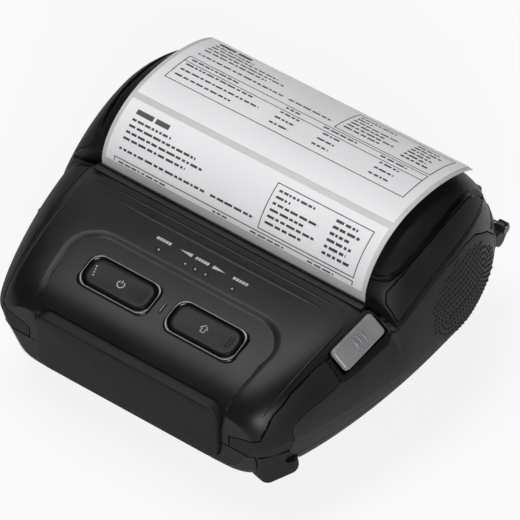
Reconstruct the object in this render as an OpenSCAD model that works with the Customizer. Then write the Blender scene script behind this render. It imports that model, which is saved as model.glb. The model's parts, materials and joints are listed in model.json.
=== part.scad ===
// Portable label printer: a rounded drop-in case with a hinged lid, a platen roller carried in the
// lid, a sprung print head and its gear train, a label roll, a battery that slides out of the left
// side, and the printed strip that arches back over the lid. Front is -Y, the table is z = 0.
// Side outlines are drawn in the tear frame, whose y is measured from the tear edge.

/* [Overall size] */
// Width at the widest line of the sides, before its edge is rounded
body_w = 156; // [153:1:160]
// Reach from the tear edge to the face of the front pad
front_reach = 61.5; // [61:0.5:64]
// Reach from the tear edge to the rear face of the body
rear_reach = 72; // [71.5:0.5:74]
// Height of the control deck at the tear edge
deck_h = 54; // [53.5:0.5:55]
// Height of the crown of the lid
lid_h = 72; // [71:0.5:74]
// Height of the widest line of the sides
belly_h = 32; // [31:0.5:33]
// Height of the underside above the table
floor_h = 3; // [2.5:0.5:3.5]

/* [Walls and clearances] */
// Wall of the two cases and the lid
wall = 3.4; // [3:0.1:3.6]
// Depth of the pockets that hold the rubber pads
pad_t = 1.5; // [1.2:0.1:1.8]
// Gap between parts that move past each other
gap = 0.4; // [0.3:0.05:0.5]
// Radial clearance of a running shaft
run = 0.05; // [0.03:0.01:0.08]
// Groove left open around a rubber pad
groove = 0.5; // [0.3:0.1:0.8]
// Height of the joint between the two cases
joint_h = 26; // [25.5:0.5:26.5]

/* [Lid and hinge] */
// Radius of the arc along which lid and body meet
seam_r = 64; // [62:1:70]
// Height of the top of that arc
seam_h = 59; // [58.5:0.25:59.25]
// Distance of the hinge pin behind the tear edge
hinge_y = 66.8; // [66.5:0.1:67.2]
// Height of the hinge pin
hinge_z = 49.5; // [49.2:0.1:49.8]
// Radius of the hinge pin
pin_r = 1.5; // [1.25:0.05:1.6]
// Radius of the hinge barrel
barrel_r = 4.5; // [4.2:0.1:4.6]
// Gap between the tear edge and the front of the lid
slot_w = 1.6; // [1.5:0.1:1.8]

/* [Media] */
// Width of the label liner
media_w = 112; // [104:1:112]
// Radius of the label roll
roll_r = 22.5; // [18:0.5:22.5]
// Inner radius of the roll's core
core_r = 9.5; // [9:0.5:11]
// Thickness of the liner
liner_t = 0.3; // [0.25:0.05:0.35]
// Thickness of a label
label_t = 0.2; // [0.15:0.05:0.25]
// Height of the arch of the strip above the deck
arch_h = 22; // [21.5:0.5:24]

/* [Drive] */
// Radius of the platen roller
platen_r = 6; // [5.9:0.05:6.1]
// Radius of the platen shaft
shaft_r = 2.5; // [2.3:0.1:2.5]
// Tooth module of the gears
gear_m = 0.7; // [0.68:0.01:0.71]
// Thickness of the gears
gear_t = 2.2; // [2:0.1:2.4]
// Radius of the motor
motor_r = 10; // [9:0.25:10]

/* [Controls] */
// Length of a key along the width of the printer
key_l = 26.6; // [24:0.2:26.8]
// Depth of a key from front to back
key_d = 10.8; // [9:0.2:11]
// Travel of a key
key_travel = 0.8; // [0.5:0.1:1]
// Length of the lid release button
release_l = 23; // [21:0.5:24]
// Width of the lid release button
release_w = 9.2; // [8.4:0.2:9.6]
// Travel of the lid release button
release_travel = 1.8; // [1.4:0.1:1.8]

/* [Battery] */
// Length of the battery pack inside the case
battery_l = 71; // [64:1:71]
// Depth of the battery pack from front to back
battery_d = 38; // [34:1:38]
// Height of the battery pack
battery_h = 17; // [15:0.5:17]

/* [Hidden] */

$fn = 32;
strap_reach = rear_reach + 6.2;                       // rear of the strap ears
y_tear = front_reach - (front_reach + strap_reach) / 2; // centres the part on its length
cap_t = 2;                                            // how far the front pad stands proud
crown_run = 33;
y_crown = y_tear + crown_run;
y_rear = y_tear + rear_reach;
y_cap = y_tear - front_reach + cap_t;
y_wide = y_tear + 32;
nose_run = front_reach + 31;
tail_run = rear_reach + 6;
fall_run = rear_reach - crown_run + 3;
taper = 0.25;                                         // share of the width lost towards the front corners
tuck = 0.19;                                          // share of the width lost at the underside
slope_w = 0.85;                                       // the shoulders: slope_w * across + slope_h * up = 1,
slope_h = 0.294;                                      // in shares of the half width and of the height
upper_e = 10.7;                                       // how tightly the edges above and below are rounded
lower_e = 13.7;
far = 120;                                            // reach of a cut past the body

seam_y = 36;
seam_gap = gap / 2;
platen_y = platen_r + 1;
platen_z = deck_h - 8;
tray_r = roll_r + 2.2;
roll_y = 39;
roll_z = 35.5;
roll_gap = 0.3;
roll_drop = tray_r - roll_r - roll_gap;               // the roll lies on the bottom of its tray
tray_t = 1.2;
tray_half = media_w / 2 + 0.6;

platen_teeth = 16;
idler_teeth = 34;
pinion_teeth = 12;
idler_y = platen_y;
idler_z = platen_z - gear_m * (platen_teeth + idler_teeth) / 2;
motor_y = -7;
motor_c = gear_m * (idler_teeth + pinion_teeth) / 2;
motor_z = idler_z - sqrt(motor_c * motor_c - (idler_y - motor_y) * (idler_y - motor_y));
gear_x = 61.3;
plate_x = 58.6;

head_y = platen_y - platen_r - 0.45;                  // printing face of the head
head_t = 1.5;
sink_t = 4;
head_travel = 0.8;
head_half = media_w / 2 - 4;
spring_l = 3.6;
bracket_y = head_y - head_t - sink_t - spring_l - head_travel;
bracket_t = 1.6;

bridge_z = 57.5;
hinge_relief = barrel_r + 3.6;
foot_z = 5;

latch_y = 5;
latch_z = platen_z - 11.5;
latch_r = 2;
lever_y = -5.2;                                       // where the release button's stem meets the lever
hook_x = 58.95;
hook_t = 1.8;
hook_z = platen_z + 3.4;                              // top of the slots that the hooks swing in

key_x = 18.2;
key_y = -39.4;
key_tilt = 14;
well_l = key_l + 3.4;
well_d = key_d + 3.4;
well_r = 4;
step_d = 0.8;                                         // depth of the recess round the keys
key_z = top_at(y_tear + key_y) - step_d;
led_y = -20.6;
led_x = [-15.6, -4.3, 0, 4.3, 15.6];
led_r = 1;

release_x = 62.7;
release_y = -12.5;
release_z = shoulder_at(release_x, y_tear + release_y);
release_tilt = 38;

battery_x = 20 - battery_l;
battery_y = -46;
battery_z = 9;
board_z = battery_z + battery_h + 3;
board_t = 1.6;
port_y = [-43, -15];
port_z = [board_z + 0.5, board_z + 8.5];
port_pin_r = 0.6;
port_barrel = 1.9;
port_swing = 1.2;                                     // room behind the pin for the open cover
port_pin_y = port_y[1] - port_barrel - gap;
port_pin_x = 3.8 - half_at(y_tear + port_pin_y);
screw_r = 1.5;
screw_places = [[-30, -53.5], [30, -53.5], [-50, 66.5], [50, 66.5]];
foot_r = 6;
foot_places = [[-45, -32], [45, -32], [-45, 50], [45, 50]];
ear_r = 2.4;
bar_y = strap_reach - ear_r;
bar_z = 30.6;

black = [0.13, 0.13, 0.14];
rubber = [0.19, 0.19, 0.21];
steel = [0.78, 0.79, 0.8];

// One quarter of a rounded outline, from 1 at u = 0 to 0 at u = 1
function lame(u, n) = pow(max(0, 1 - pow(min(1, abs(u)), n)), 1 / n);

// Half width, top and underside of the whole body at a distance y from front to back
function half_at(y) = body_w / 2 * (y < y_wide
    ? (1 - taper * pow((y_wide - y) / nose_run, 2)) * lame((y_wide - y) / nose_run, 20)
    : lame((y - y_wide) / tail_run, 1.75));
function top_at(y) = y < y_tear
    ? belly_h + (deck_h - belly_h) * lame((y_tear - y) / front_reach, 2.7)
    : y < y_crown
    ? deck_h + (lid_h - deck_h) * lame((y_crown - y) / crown_run, 2)
    : belly_h + (lid_h - belly_h) * lame((y - y_crown) / fall_run, 2.6);
function low_at(y) = belly_h - (belly_h - floor_h) * (y < y_tear
    ? lame((y_tear - y) / front_reach, 3.75)
    : lame((y - y_tear) / (rear_reach + 3), 6));

// Height of the sloping shoulder at a place x, y, found by halving
function share_up(c, lo, hi, n) = let (h = (lo + hi) / 2) n == 0 ? h
    : pow(c, upper_e) + pow(h, upper_e) + pow(slope_w * c + slope_h * h, upper_e) > 1
    ? share_up(c, lo, h, n - 1) : share_up(c, h, hi, n - 1);
function shoulder_at(x, y) = belly_h + (top_at(y) - belly_h) * share_up(abs(x) / half_at(y), 0, 1, 16);

// The same outlines, a distance t inside the surface
function half_in(y, t) = t > 0 ? min(half_at(y) - t, half_at(y - t), half_at(y + t)) : half_at(max(y, y_cap)) - t;
function top_in(y, t) = t > 0 ? min(top_at(y) - t, top_at(y - t), top_at(y + t)) : top_at(max(y, y_cap)) - t;
function low_in(y, t) = t > 0 ? max(low_at(y) + t, low_at(y - t), low_at(y + t)) : low_at(max(y, y_cap)) + t;

// Sections crowd together where the outline turns fastest
function stations(t, k) = concat(
    [for (i = [0 : k]) y_tear - (y_tear - y_cap - t) * cos(90 * i / k)],
    [for (i = [1 : k]) y_tear + crown_run * (1 - cos(90 * i / k))],
    [for (i = [1 : k]) y_crown + (y_rear - y_crown - t) * sin(90 * i / k)]);
function section(y, t, n) = [for (j = [0 : n - 1])
    let (a = 360 * j / n,
         up = sin(a) >= -0.0001,
         e = up ? upper_e : lower_e,
         c = abs(cos(a)),
         w = abs(sin(a)),
         r = pow(pow(c, e) + pow(w, e) + (up ? pow(slope_w * c + slope_h * w, e) : 0), -1 / e),
         v = r * sin(a))
    [half_in(y, t) * r * cos(a) * (up ? 1 : 1 - tuck * abs(v)),
     y,
     belly_h + v * (up ? top_in(y, t) - belly_h : belly_h - low_in(y, t))]];

// The whole outer form of the printer, t inside its surface, as a loft from front to back
module form(t = 0, n = 40, k = 6) {
    ys = stations(t, k);
    m = len(ys);
    polyhedron(
        points = [for (y = ys) each section(y, t, n)],
        faces = concat(
            [[for (j = [n - 1 : -1 : 0]) j]],
            [[for (j = [0 : n - 1]) (m - 1) * n + j]],
            [for (i = [0 : m - 2], j = [0 : n - 1])
                [i * n + j, i * n + (j + 1) % n, (i + 1) * n + j]],
            [for (i = [0 : m - 2], j = [0 : n - 1])
                [i * n + (j + 1) % n, (i + 1) * n + (j + 1) % n, (i + 1) * n + j]]));
}

module hollow() form(wall, 28, 5);

// Extrusions of an outline in the tear frame: across the width, from front to back and upwards
module across(x0, x1) translate([x0, y_tear, 0]) rotate([90, 0, 90]) linear_extrude(x1 - x0) children();
module along(y0, y1) translate([0, y_tear + y1, 0]) rotate([90, 0, 0]) linear_extrude(y1 - y0) children();
module upward(z0, z1) translate([0, y_tear, z0]) linear_extrude(z1 - z0) children();
module block(x, y, z) translate([x[0], y_tear + y[0], z[0]]) cube([x[1] - x[0], y[1] - y[0], z[1] - z[0]]);
module rod(x0, x1, r, y, z) translate([x0, y_tear + y, z]) rotate([0, 90, 0]) cylinder(r = r, h = x1 - x0);
module tube(x0, x1, r_out, r_in, y, z) difference() {
    rod(x0, x1, r_out, y, z);
    rod(x0 - 1, x1 + 1, r_in, y, z);
}
module soft_rect(l, d, r) offset(r) square([l - 2 * r, d - 2 * r], center = true);

// Everything above the arc along which the lid closes
module over_seam(c, y0) difference() {
    block([-far, far], [y0, far], [40, far]);
    rod(-far - 1, far + 1, seam_r + c, seam_y, seam_h - seam_r, $fn = 180);
}

// A right-hand outline, or the left-hand one in the opposite order
function mirrored(p, side) = side > 0 ? p : [for (i = [len(p) - 1 : -1 : 0]) [-p[i][0], p[i][1]]];

// Plan of the dome in the middle of the lid, grown by g
module dome_plan(g = 0) offset(r = 7 + g) offset(delta = -7)
    polygon([for (side = [1, -1]) each mirrored([[60, 6.5], [62, 22], [61, 36], [58.4, 56], [58, far]], side)]);

// Outlines of the rubber pads, each grown by g
module grip_area(side, g = 0) scale([side, 1, 1]) intersection() {
    across(50, far) offset(r = 3 + g) offset(delta = -3)
        polygon([[-48.2, 17], [-48.2, 37], [-41, 39.8], [-26, 42.6], [-3, 44.4], [3, 48.6], [10, 52],
            [18, 54.8], [27, 56.8], [40, 57], [48, 54.6], [57.6, 47], [65, 38], [65, 25], [56, 17]]);
    upward(5, 65) polygon([[52, -52], [60, -30], [64, -12], [64, 20], [62, 66], [far, 66], [far, -52]]);
}
module front_pad_area(g = 0) along(-front_reach - 2, -40)
    offset(r = 5 + g) polygon([[-33.8, 22.4], [33.8, 22.4], [33.8, 37.2], [-33.8, 37.2]]);
module bumper_area(side, g = 0) scale([side, 1, 1]) difference() {
    end = side > 0 ? -26.4 : -2;
    union() {
        upward(joint_h + 0.4 - g, 60) offset(delta = g)
            polygon([[54.9, -far], [54.9, -54.8], [56.1, -44], [58.7, -25], [58.7, end], [far, end], [far, -far]]);
        along(-far, -50) offset(delta = g)
            polygon([[42.8, joint_h + 0.4], [42.8, 31.2], [55, 35.2], [far, 35.2], [far, joint_h + 0.4]]);
    }
    grip_area(1, groove - g);
}
// Block that the corner foot is cut from; it stands out beyond the body towards the table
module foot_area(side, g = 0) scale([side, 1, 1]) difference() {
    hull() {
        upward(joint_h - 0.5, joint_h - 0.4 + g) offset(r = 1.5 + g)
            polygon([[44.3, -57], [53.8, -56.3], [59.4, -47.8], [50, -40], [44.3, -40]]);
        upward(foot_z - g, foot_z + 0.1) offset(r = 3 + g)
            polygon([[47, -47], [50.5, -47.8], [55, -41], [50, -36], [47, -36]]);
    }
    grip_area(1, groove - g);
}
module lid_pad_area(side, g = 0) scale([side, 1, 1]) intersection() {
    upward(40, 75) offset(r = 2 + g) offset(delta = -2)
        polygon([[61, slot_w + 0.9], [63.6, 11], [64.2, 27], [63, 44], [60.6, 60], [60.6, 68], [far, 68],
            [far, slot_w + 0.9]]);
    over_seam(1 - g, 0);
}
module pockets() difference() {
    union() {
        front_pad_area(groove);
        for (side = [-1, 1]) {
            grip_area(side, groove);
            bumper_area(side, groove);
            foot_area(side, groove);
            lid_pad_area(side, groove);
        }
    }
    form(pad_t);
}
module dome_groove() difference() {
    upward(50, 80) difference() {
        dome_plan(2);
        dome_plan();
    }
    form(1.2);
}
module pad_skin() intersection() {
    difference() {
        form();
        form(pad_t);
    }
    children();
}

// Recess down the rear face, in front of the strap bar, that leaves room for a strap's hooks
module strap_hollow() block([-52, 52], [rear_reach - 2, far], [-1, 38]);

// Room in the walls for the gears at the right
module gear_room() for (g = [[idler_teeth, idler_y, idler_z], [pinion_teeth, motor_y, motor_z]])
    rod(gear_x - 0.8, gear_x + gear_t + 0.6, gear_m * (g[0] / 2 + 0.9) + 0.6, g[1], g[2]);

// The space that the battery pack and its door slide through
module battery_space(c = 0) block([-far, battery_x + battery_l + c],
    [battery_y - c, battery_y + battery_d + c], [battery_z - c, battery_z + battery_h + c]);
module port_space() block([-far, -60], [port_y[0], port_y[1] + port_swing], port_z);

// Carries its children to the place and slope of a key
module at_key(x) translate([x, y_tear + key_y, key_z]) rotate([key_tilt, 0, 0]) children();
module at_release() translate([release_x, y_tear + release_y, release_z]) rotate([0, release_tilt, 0]) children();

module bottom_case() color(black) difference() {
    union() {
        difference() {
            form();
            hollow();
            block([-far, far], [-far, far], [joint_h - seam_gap, far]);
        }
        intersection() {
            form(1, 28, 5);
            union() {
                for (p = screw_places)
                    translate([p[0], y_tear + p[1], 5]) cylinder(r = 4.8, h = joint_h - seam_gap - 5);
                battery_tunnel(joint_h - seam_gap);
                for (x = [-50, -18, 18, 50])
                    across(x - 0.8, x + 0.8) difference() {
                        translate([14, 4]) square([50, 9]);
                        translate([roll_y, roll_z]) circle(r = tray_r + tray_t);
                    }
                for (x = [42, 53])
                    across(x - 1, x + 1) difference() {
                        translate([motor_y - 8, 4]) square([16, 10]);
                        translate([motor_y, motor_z]) circle(r = motor_r);
                    }
            }
        }
        intersection() {
            form(wall + 1, 28, 5);
            union() {
                battery_tunnel(battery_z + battery_h + 2);
                for (x = [-48, 10], y = [battery_y + 4, battery_y + battery_d - 6])
                    translate([x, y_tear + y, board_z - 2]) cylinder(r = 2, h = 2);
            }
        }
    }
    battery_space(gap);
    pockets();
    gear_room();
    strap_hollow();
    for (p = screw_places) translate([p[0], y_tear + p[1], 0]) {
        cylinder(r = screw_r + 0.2, h = far);
        cylinder(r = 3.2, h = joint_h - 9);
    }
    for (p = foot_places) translate([p[0], y_tear + p[1], -1]) cylinder(r = foot_r + 0.1, h = 6);
}
module battery_tunnel(top) block([-62, battery_x + battery_l + 2],
    [battery_y - 2, battery_y + battery_d + 2], [4, top]);

module top_case() color(black) difference() {
    union() {
        difference() {
            form();
            hollow();
            block([-far, far], [-far, far], [-1, joint_h + seam_gap]);
            over_seam(-seam_gap, 0);
            rod(-66, 66, hinge_relief, hinge_y, hinge_z);
        }
        intersection() {
            form(1, 28, 5);
            for (p = screw_places)
                translate([p[0], y_tear + p[1], joint_h + seam_gap]) cylinder(r = 3.2, h = p[1] < 0 ? 20 : 10);
        }
        for (side = [-1, 1]) {
            rod(side * 40 - 4, side * 40 + 4, barrel_r, hinge_y, hinge_z);
            block([side * 40 - 4, side * 40 + 4], [hinge_y - 3, hinge_y + 3.2], [hinge_z - 12, hinge_z - 1]);
            strap_ear(side);
        }
    }
    pockets();
    recess();
    gear_room();
    strap_hollow();
    for (side = [-1, 1]) {
        at_key(side * key_x) translate([0, 0, -8]) linear_extrude(16) soft_rect(well_l + 0.2, well_d + 0.2, well_r);
        block([side * 60 - 1.6, side * 60 + 1.6], [-3, 7], [42, hook_z]);
        rod(side * 62 - 3, side * 62 + 3, 1.2 + run, bar_y, bar_z);
    }
    rod(30, 50, pin_r, hinge_y, hinge_z);
    rod(-50, -30, pin_r, hinge_y, hinge_z);
    rod(gear_x - 0.8, gear_x + gear_t + 0.8, gear_m * (platen_teeth / 2 + 0.9) + 0.6, platen_y, platen_z);
    for (x = led_x) translate([x, y_tear + led_y, 40]) cylinder(r = led_r + run, h = 30);
    release_slot();
    block([-57.4, 57.4], [-1, 3], [40, 60]);
    block([-57.4, 57.4], [-3.2, 3], [deck_h - 0.5, 60]);
    battery_space(gap);
    port_space();
    port_pin_bore(port_pin_r);
    for (p = screw_places) translate([p[0], y_tear + p[1], 20]) cylinder(r = screw_r, h = 15);
}

// The shallow U-shaped step round the keys, open to the front
module recess() difference() {
    upward(34, 60) offset(10) polygon([[-29, -65], [29, -65], [32, -36], [-32, -36]]);
    form(step_d);
}

// Oval ears, leaning back, that hold the strap bar
module strap_ear(side) across(side * 62 - 1.6, side * 62 + 1.6) {
    hull() {
        translate([bar_y, bar_z]) circle(r = ear_r);
        translate([bar_y - 2.7, bar_z - 3.9]) circle(r = ear_r);
    }
    translate([64, joint_h + seam_gap]) square([bar_y - 65, 2 * ear_r]);
}

module lid() color(black) difference() {
    union() {
        intersection() {
            difference() {
                form();
                hollow();
            }
            over_seam(seam_gap, slot_w);
        }
        intersection() {
            form(0.5, 28, 5);
            block([-61, 61], [slot_w, slot_w + 2.4], [platen_z + platen_r + 0.8, platen_z + platen_r + 6]);
        }
        intersection() {
            form(1, 28, 5);
            for (x = [-40, 40]) block([x - 3, x + 3], [19, 26], [bridge_z, lid_h]);
        }
        for (x = [[-56, -44.5], [-35.5, 35.5], [44.5, 56]]) {
            rod(x[0], x[1], barrel_r, hinge_y, hinge_z);
            intersection() {
                form(0.5, 28, 5);
                block([x[0], x[1]], [hinge_y - 3.4, hinge_y], [hinge_z + 2, hinge_z + 14]);
            }
        }
        intersection() {
            form(0.2, 28, 5);
            for (x = [-66, 57]) rod(x, x + 9, hinge_relief - gap, hinge_y, hinge_z);
        }
    }
    pockets();
    dome_groove();
    for (x = [-40, 40])
        block([x - 4 - gap, x + 4 + gap], [hinge_y - barrel_r - gap, far], [40, hinge_z + barrel_r + gap]);
    rod(-57, 57, pin_r + run, hinge_y, hinge_z);
    rod(gear_x - 0.8, gear_x + gear_t + 0.8, gear_m * (platen_teeth / 2 + 0.9) + 0.6, platen_y, platen_z);
}

module front_pad() color(rubber) intersection() {
    difference() {
        form(-cap_t);
        form(pad_t);
    }
    front_pad_area();
}
module corner_bumper(side) color(rubber) pad_skin() bumper_area(side);
module corner_foot(side) color(rubber) difference() {
    foot_area(side);
    form(pad_t);
    battery_space(gap);
}
module corner_foot_left() corner_foot(-1);
module corner_foot_right() corner_foot(1);
module corner_bumper_left() corner_bumper(-1);
module corner_bumper_right() corner_bumper(1);
module side_grip_left() color(rubber) difference() {
    pad_skin() grip_area(-1);
    battery_space(gap);
    port_space();
    port_pin_bore(port_pin_r);
}
module side_grip_right() color(rubber) difference() {
    pad_skin() grip_area(1);
    release_slot();
}
module lid_pad_left() color(rubber) pad_skin() lid_pad_area(-1);
module lid_pad_right() color(rubber) pad_skin() lid_pad_area(1);

// Glossy frames in which the two keys move
module key_trim() color([0.05, 0.05, 0.06]) for (side = [-1, 1]) at_key(side * key_x) difference() {
    translate([0, 0, -3]) linear_extrude(3.6) soft_rect(well_l, well_d, well_r - 0.1);
    translate([0, 0, -5]) linear_extrude(8) soft_rect(key_l + 2 * gap, key_d + 2 * gap, 3);
}
module key(x) color([0.07, 0.07, 0.08]) at_key(x) {
    translate([0, 0, -2.2]) linear_extrude(2.9) soft_rect(key_l, key_d, 2.6);
    translate([0, 0, -4.2]) cylinder(r = 2, h = 2.2);
    translate([0, 0, 0.7]) hull() {
        linear_extrude(0.01) soft_rect(key_l - 0.6, key_d - 0.6, 2.3);
        linear_extrude(0.5) soft_rect(key_l - 3, key_d - 3, 1.2);
    }
}
module power_key() key(-key_x);
module feed_key() key(key_x);

module release_slot() at_release() translate([0, 0, -12]) linear_extrude(24)
    soft_rect(release_w + 2 * gap, release_l + 2 * gap, 1.6);

// Light grey plate with three raised finger ribs and a stem that tips the latch
module release_button() color([0.66, 0.67, 0.68]) {
    at_release() {
        translate([0, 0, -1]) linear_extrude(1.8) soft_rect(release_w, release_l, 1.4);
        for (y = [-2, 0, 2]) translate([-2.4, y - 0.4, 0.8]) cube([4.8, 0.8, 0.5]);
    }
    block([59.2, 60.7], [lever_y - 1, lever_y + 1], [latch_z + 7.1, release_z + 1.6]);
}

// Steel strip with one tooth per millimetre along its upper edge
module tear_bar() color(steel) {
    teeth = media_w + 2;
    along(-0.9, -0.15) polygon(concat(
        [[teeth / 2, deck_h - 2.2], [-teeth / 2, deck_h - 2.2]],
        [for (i = [0 : teeth - 1]) each [[i - teeth / 2, deck_h + 0.1], [i - teeth / 2 + 0.5, deck_h + 0.9]]],
        [[teeth / 2, deck_h + 0.1]]));
    block([-57, 57], [-3, -0.9], [deck_h - 0.4, deck_h + 0.2]);
}

module hinge_pin() color(steel) rod(-56, 56, pin_r, hinge_y, hinge_z);

// Two cheeks that hold the platen, joined by a bridge screwed under the crown of the lid
module lid_frame() color([0.2, 0.2, 0.21]) difference() {
    union() {
        for (x = [-58.6, 56.4]) across(x, x + 2.2) hull() {
            translate([platen_y, platen_z]) circle(r = 5);
            translate([11, 50]) square([7, 5]);
        }
        for (x = [-58.6, 56.4]) across(x, x + 2.2) polygon([[11, 52], [18, 52], [26, bridge_z], [19, bridge_z]]);
        block([-58.6, 58.6], [19, 26], [bridge_z - 2, bridge_z]);
    }
    for (x = [-60, 56]) rod(x, x + 4, 4 + run, platen_y, platen_z);
}
module platen_bushings() color([0.75, 0.62, 0.3]) for (x = [-58.8, 56.2])
    tube(x, x + 2.6, 4, shaft_r + run, platen_y, platen_z);
module platen_shaft() color(steel) rod(-62, gear_x + gear_t, shaft_r, platen_y, platen_z);
module platen_rubber() color([0.16, 0.16, 0.17])
    tube(-media_w / 2 + 1, media_w / 2 - 1, platen_r, shaft_r, platen_y, platen_z);

// Spur gear in the side plane; phase is the angle of a tooth above the rearward direction
module spur(teeth, phase, bore) {
    rp = gear_m * teeth / 2;
    half = PI * gear_m / 4 - 0.09;
    tip = rp + 0.9 * gear_m;
    root = rp - 1.25 * gear_m;
    function flank(r) = (half - (r - rp) * tan(20)) / r * 180 / PI;
    difference() {
        across(gear_x, gear_x + gear_t) rotate(phase) difference() {
            polygon([for (i = [0 : teeth - 1], q = [[root, -1], [tip, -1], [tip, 1], [root, 1]])
                let (a = i * 360 / teeth + q[1] * flank(q[0])) q[0] * [cos(a), sin(a)]]);
        }
        rod(0, 80, bore, 0, 0);
    }
}
idler_phase = 90 + 180 / idler_teeth;
motor_dir = atan2(motor_z - idler_z, motor_y - idler_y);
pinion_phase = motor_dir + 180 + (motor_dir - idler_phase) * idler_teeth / pinion_teeth + 180 / pinion_teeth;
module platen_gear() color([0.85, 0.84, 0.8]) translate([0, platen_y, platen_z])
    spur(platen_teeth, -90, shaft_r);
module idler_gear() color([0.85, 0.84, 0.8]) translate([0, idler_y, idler_z])
    spur(idler_teeth, idler_phase, pin_r + run);
module idler_pin() color(steel) {
    rod(plate_x, gear_x + gear_t + 0.8, pin_r, idler_y, idler_z);
    rod(gear_x + gear_t + 0.3, gear_x + gear_t + 1.1, pin_r + 1, idler_y, idler_z);
}
module motor_body() color([0.45, 0.46, 0.47]) difference() {
    union() {
        rod(38, plate_x - 1.6, motor_r, motor_y, motor_z);
        rod(plate_x - 1.6, plate_x + 0.2, 4, motor_y, motor_z);
    }
    rod(36, 60, pin_r + run, motor_y, motor_z);
}
module motor_rotor() color(steel) {
    rod(37, gear_x + gear_t, pin_r, motor_y, motor_z);
    difference() {
        translate([0, motor_y, motor_z]) spur(pinion_teeth, pinion_phase, pin_r);
        rod(0, 1, 1, motor_y, motor_z);
    }
}
module gear_plate() color(steel) difference() {
    across(plate_x - 1.6, plate_x) offset(2) polygon([[-15, 14], [5, 14], [9.5, 24], [9.5, 30], [-15, 30]]);
    rod(50, 70, 4 + run, motor_y, motor_z);
    rod(50, 70, pin_r, idler_y, idler_z);
}

module print_head() color([0.85, 0.85, 0.83])
    block([-head_half, head_half], [head_y - head_t, head_y], [platen_z - 10, platen_z + 2]);
module heat_sink() color([0.7, 0.71, 0.72]) difference() {
    block([-head_half, head_half], [head_y - head_t - sink_t, head_y - head_t], [platen_z - 12, platen_z + 1]);
    for (z = [platen_z - 10, platen_z - 6, platen_z - 2])
        block([-head_half - 1, head_half + 1], [head_y - head_t - sink_t - 1, head_y - head_t - 2], [z, z + 2]);
}
module head_springs() color(steel) for (x = [-30, 0, 30])
    translate([x, y_tear + bracket_y + spring_l, platen_z - 4]) rotate([90, 0, 0]) difference() {
        cylinder(r = 3, h = spring_l);
        translate([0, 0, -1]) cylinder(r = 2.3, h = spring_l + 2);
    }
module head_bracket() color(steel) difference() {
    union() {
        block([-57, 57], [bracket_y - bracket_t, bracket_y], [latch_z, platen_z - 2]);
        block([-44, 44], [bracket_y - bracket_t, bracket_y], [platen_z - 3, deck_h - 5.6]);
        block([-44, 44], [bracket_y - 7, bracket_y], [deck_h - 7.2, deck_h - 5.6]);
        for (x = [-57, 55.4]) {
            block([x, x + 1.6], [bracket_y - 1, latch_y + 3.6], [latch_z, latch_z + 3.6]);
            rod(x, x + 1.6, 3.6, latch_y, latch_z);
        }
    }
    rod(-60, 60, latch_r + run, latch_y, latch_z);
}

// Cross shaft whose two hooks stand in front of the platen's ends; the right one carries the lever
module latch_shaft() color(steel) rod(-hook_x - hook_t, hook_x + hook_t, latch_r, latch_y, latch_z);
module hook(x, lever) color([0.25, 0.25, 0.26]) difference() {
    across(x, x + hook_t) difference() {
        union() {
            hull() {
                translate([latch_y, latch_z]) circle(r = 3.6);
                translate([1.4, platen_z - 3]) square([2.4, 2]);
            }
            translate([1.4, platen_z - 3]) square([2.4, 5.2]);
            if (lever) hull() {
                translate([latch_y, latch_z]) circle(r = 3);
                translate([lever_y, latch_z + 5.5]) circle(r = 1.2);
            }
        }
        translate([platen_y, platen_z]) circle(r = shaft_r + 0.6);
    }
    rod(x - 1, x + hook_t + 1, latch_r, latch_y, latch_z);
}
module latch_hook_left() hook(-hook_x - hook_t, false);
module latch_hook_right() hook(hook_x, true);

// Trough in which the roll lies
// The tray is open above the roll, and stops short of the rear screw bosses
module tray_opening() {
    translate([-20, roll_z - 9]) square([120, 60]);
    translate([61.3, -20]) square([30, 90]);
}
module roll_tray() color([0.18, 0.18, 0.19]) {
    across(-tray_half, tray_half) difference() {
        translate([roll_y, roll_z]) circle(r = tray_r + tray_t);
        translate([roll_y, roll_z]) circle(r = tray_r);
        tray_opening();
    }
    for (x = [-tray_half - 1.2, tray_half]) across(x, x + 1.2) difference() {
        translate([roll_y, roll_z]) circle(r = tray_r + tray_t);
        tray_opening();
    }
}
module label_roll() color([0.93, 0.92, 0.93])
    tube(-media_w / 2 + 0.2, media_w / 2 - 0.2, roll_r, core_r + 1.4, roll_y, roll_z - roll_drop);
module roll_core() color([0.72, 0.6, 0.45])
    tube(-media_w / 2 + 0.2, media_w / 2 - 0.2, core_r + 1.4, core_r, roll_y, roll_z - roll_drop);

// Path of the strip: round the front of the platen, out of the slot and back over the lid
function bezier(p, t) = pow(1 - t, 3) * p[0] + 3 * t * pow(1 - t, 2) * p[1]
    + 3 * t * t * (1 - t) * p[2] + pow(t, 3) * p[3];
wrap_r = platen_r + 0.08;
function strip_rise(side) = let (top = deck_h + arch_h + 0.6 * side)
    [[0.8, deck_h + 0.6], [0.1, deck_h + 10], [10, top - 0.3], [27, top]];
function strip_fall(side) = let (top = deck_h + arch_h + 0.6 * side)
    [[27, top], [40, top + 0.2], [55, top - 4], [65, top - 11.6]];
function strip_path(side) = concat(
    [for (a = [250 : -14 : 180]) [platen_y, platen_z] + (wrap_r + liner_t / 2) * [cos(a), sin(a)]],
    [for (i = [0 : 8]) bezier(strip_rise(side), i / 8)],
    [for (i = [1 : 8]) bezier(strip_fall(side), i / 8)]);
function normal_at(p, i) = let (d = p[min(i + 1, len(p) - 1)] - p[max(i - 1, 0)]) [-d[1], d[0]] / norm(d);
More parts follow.
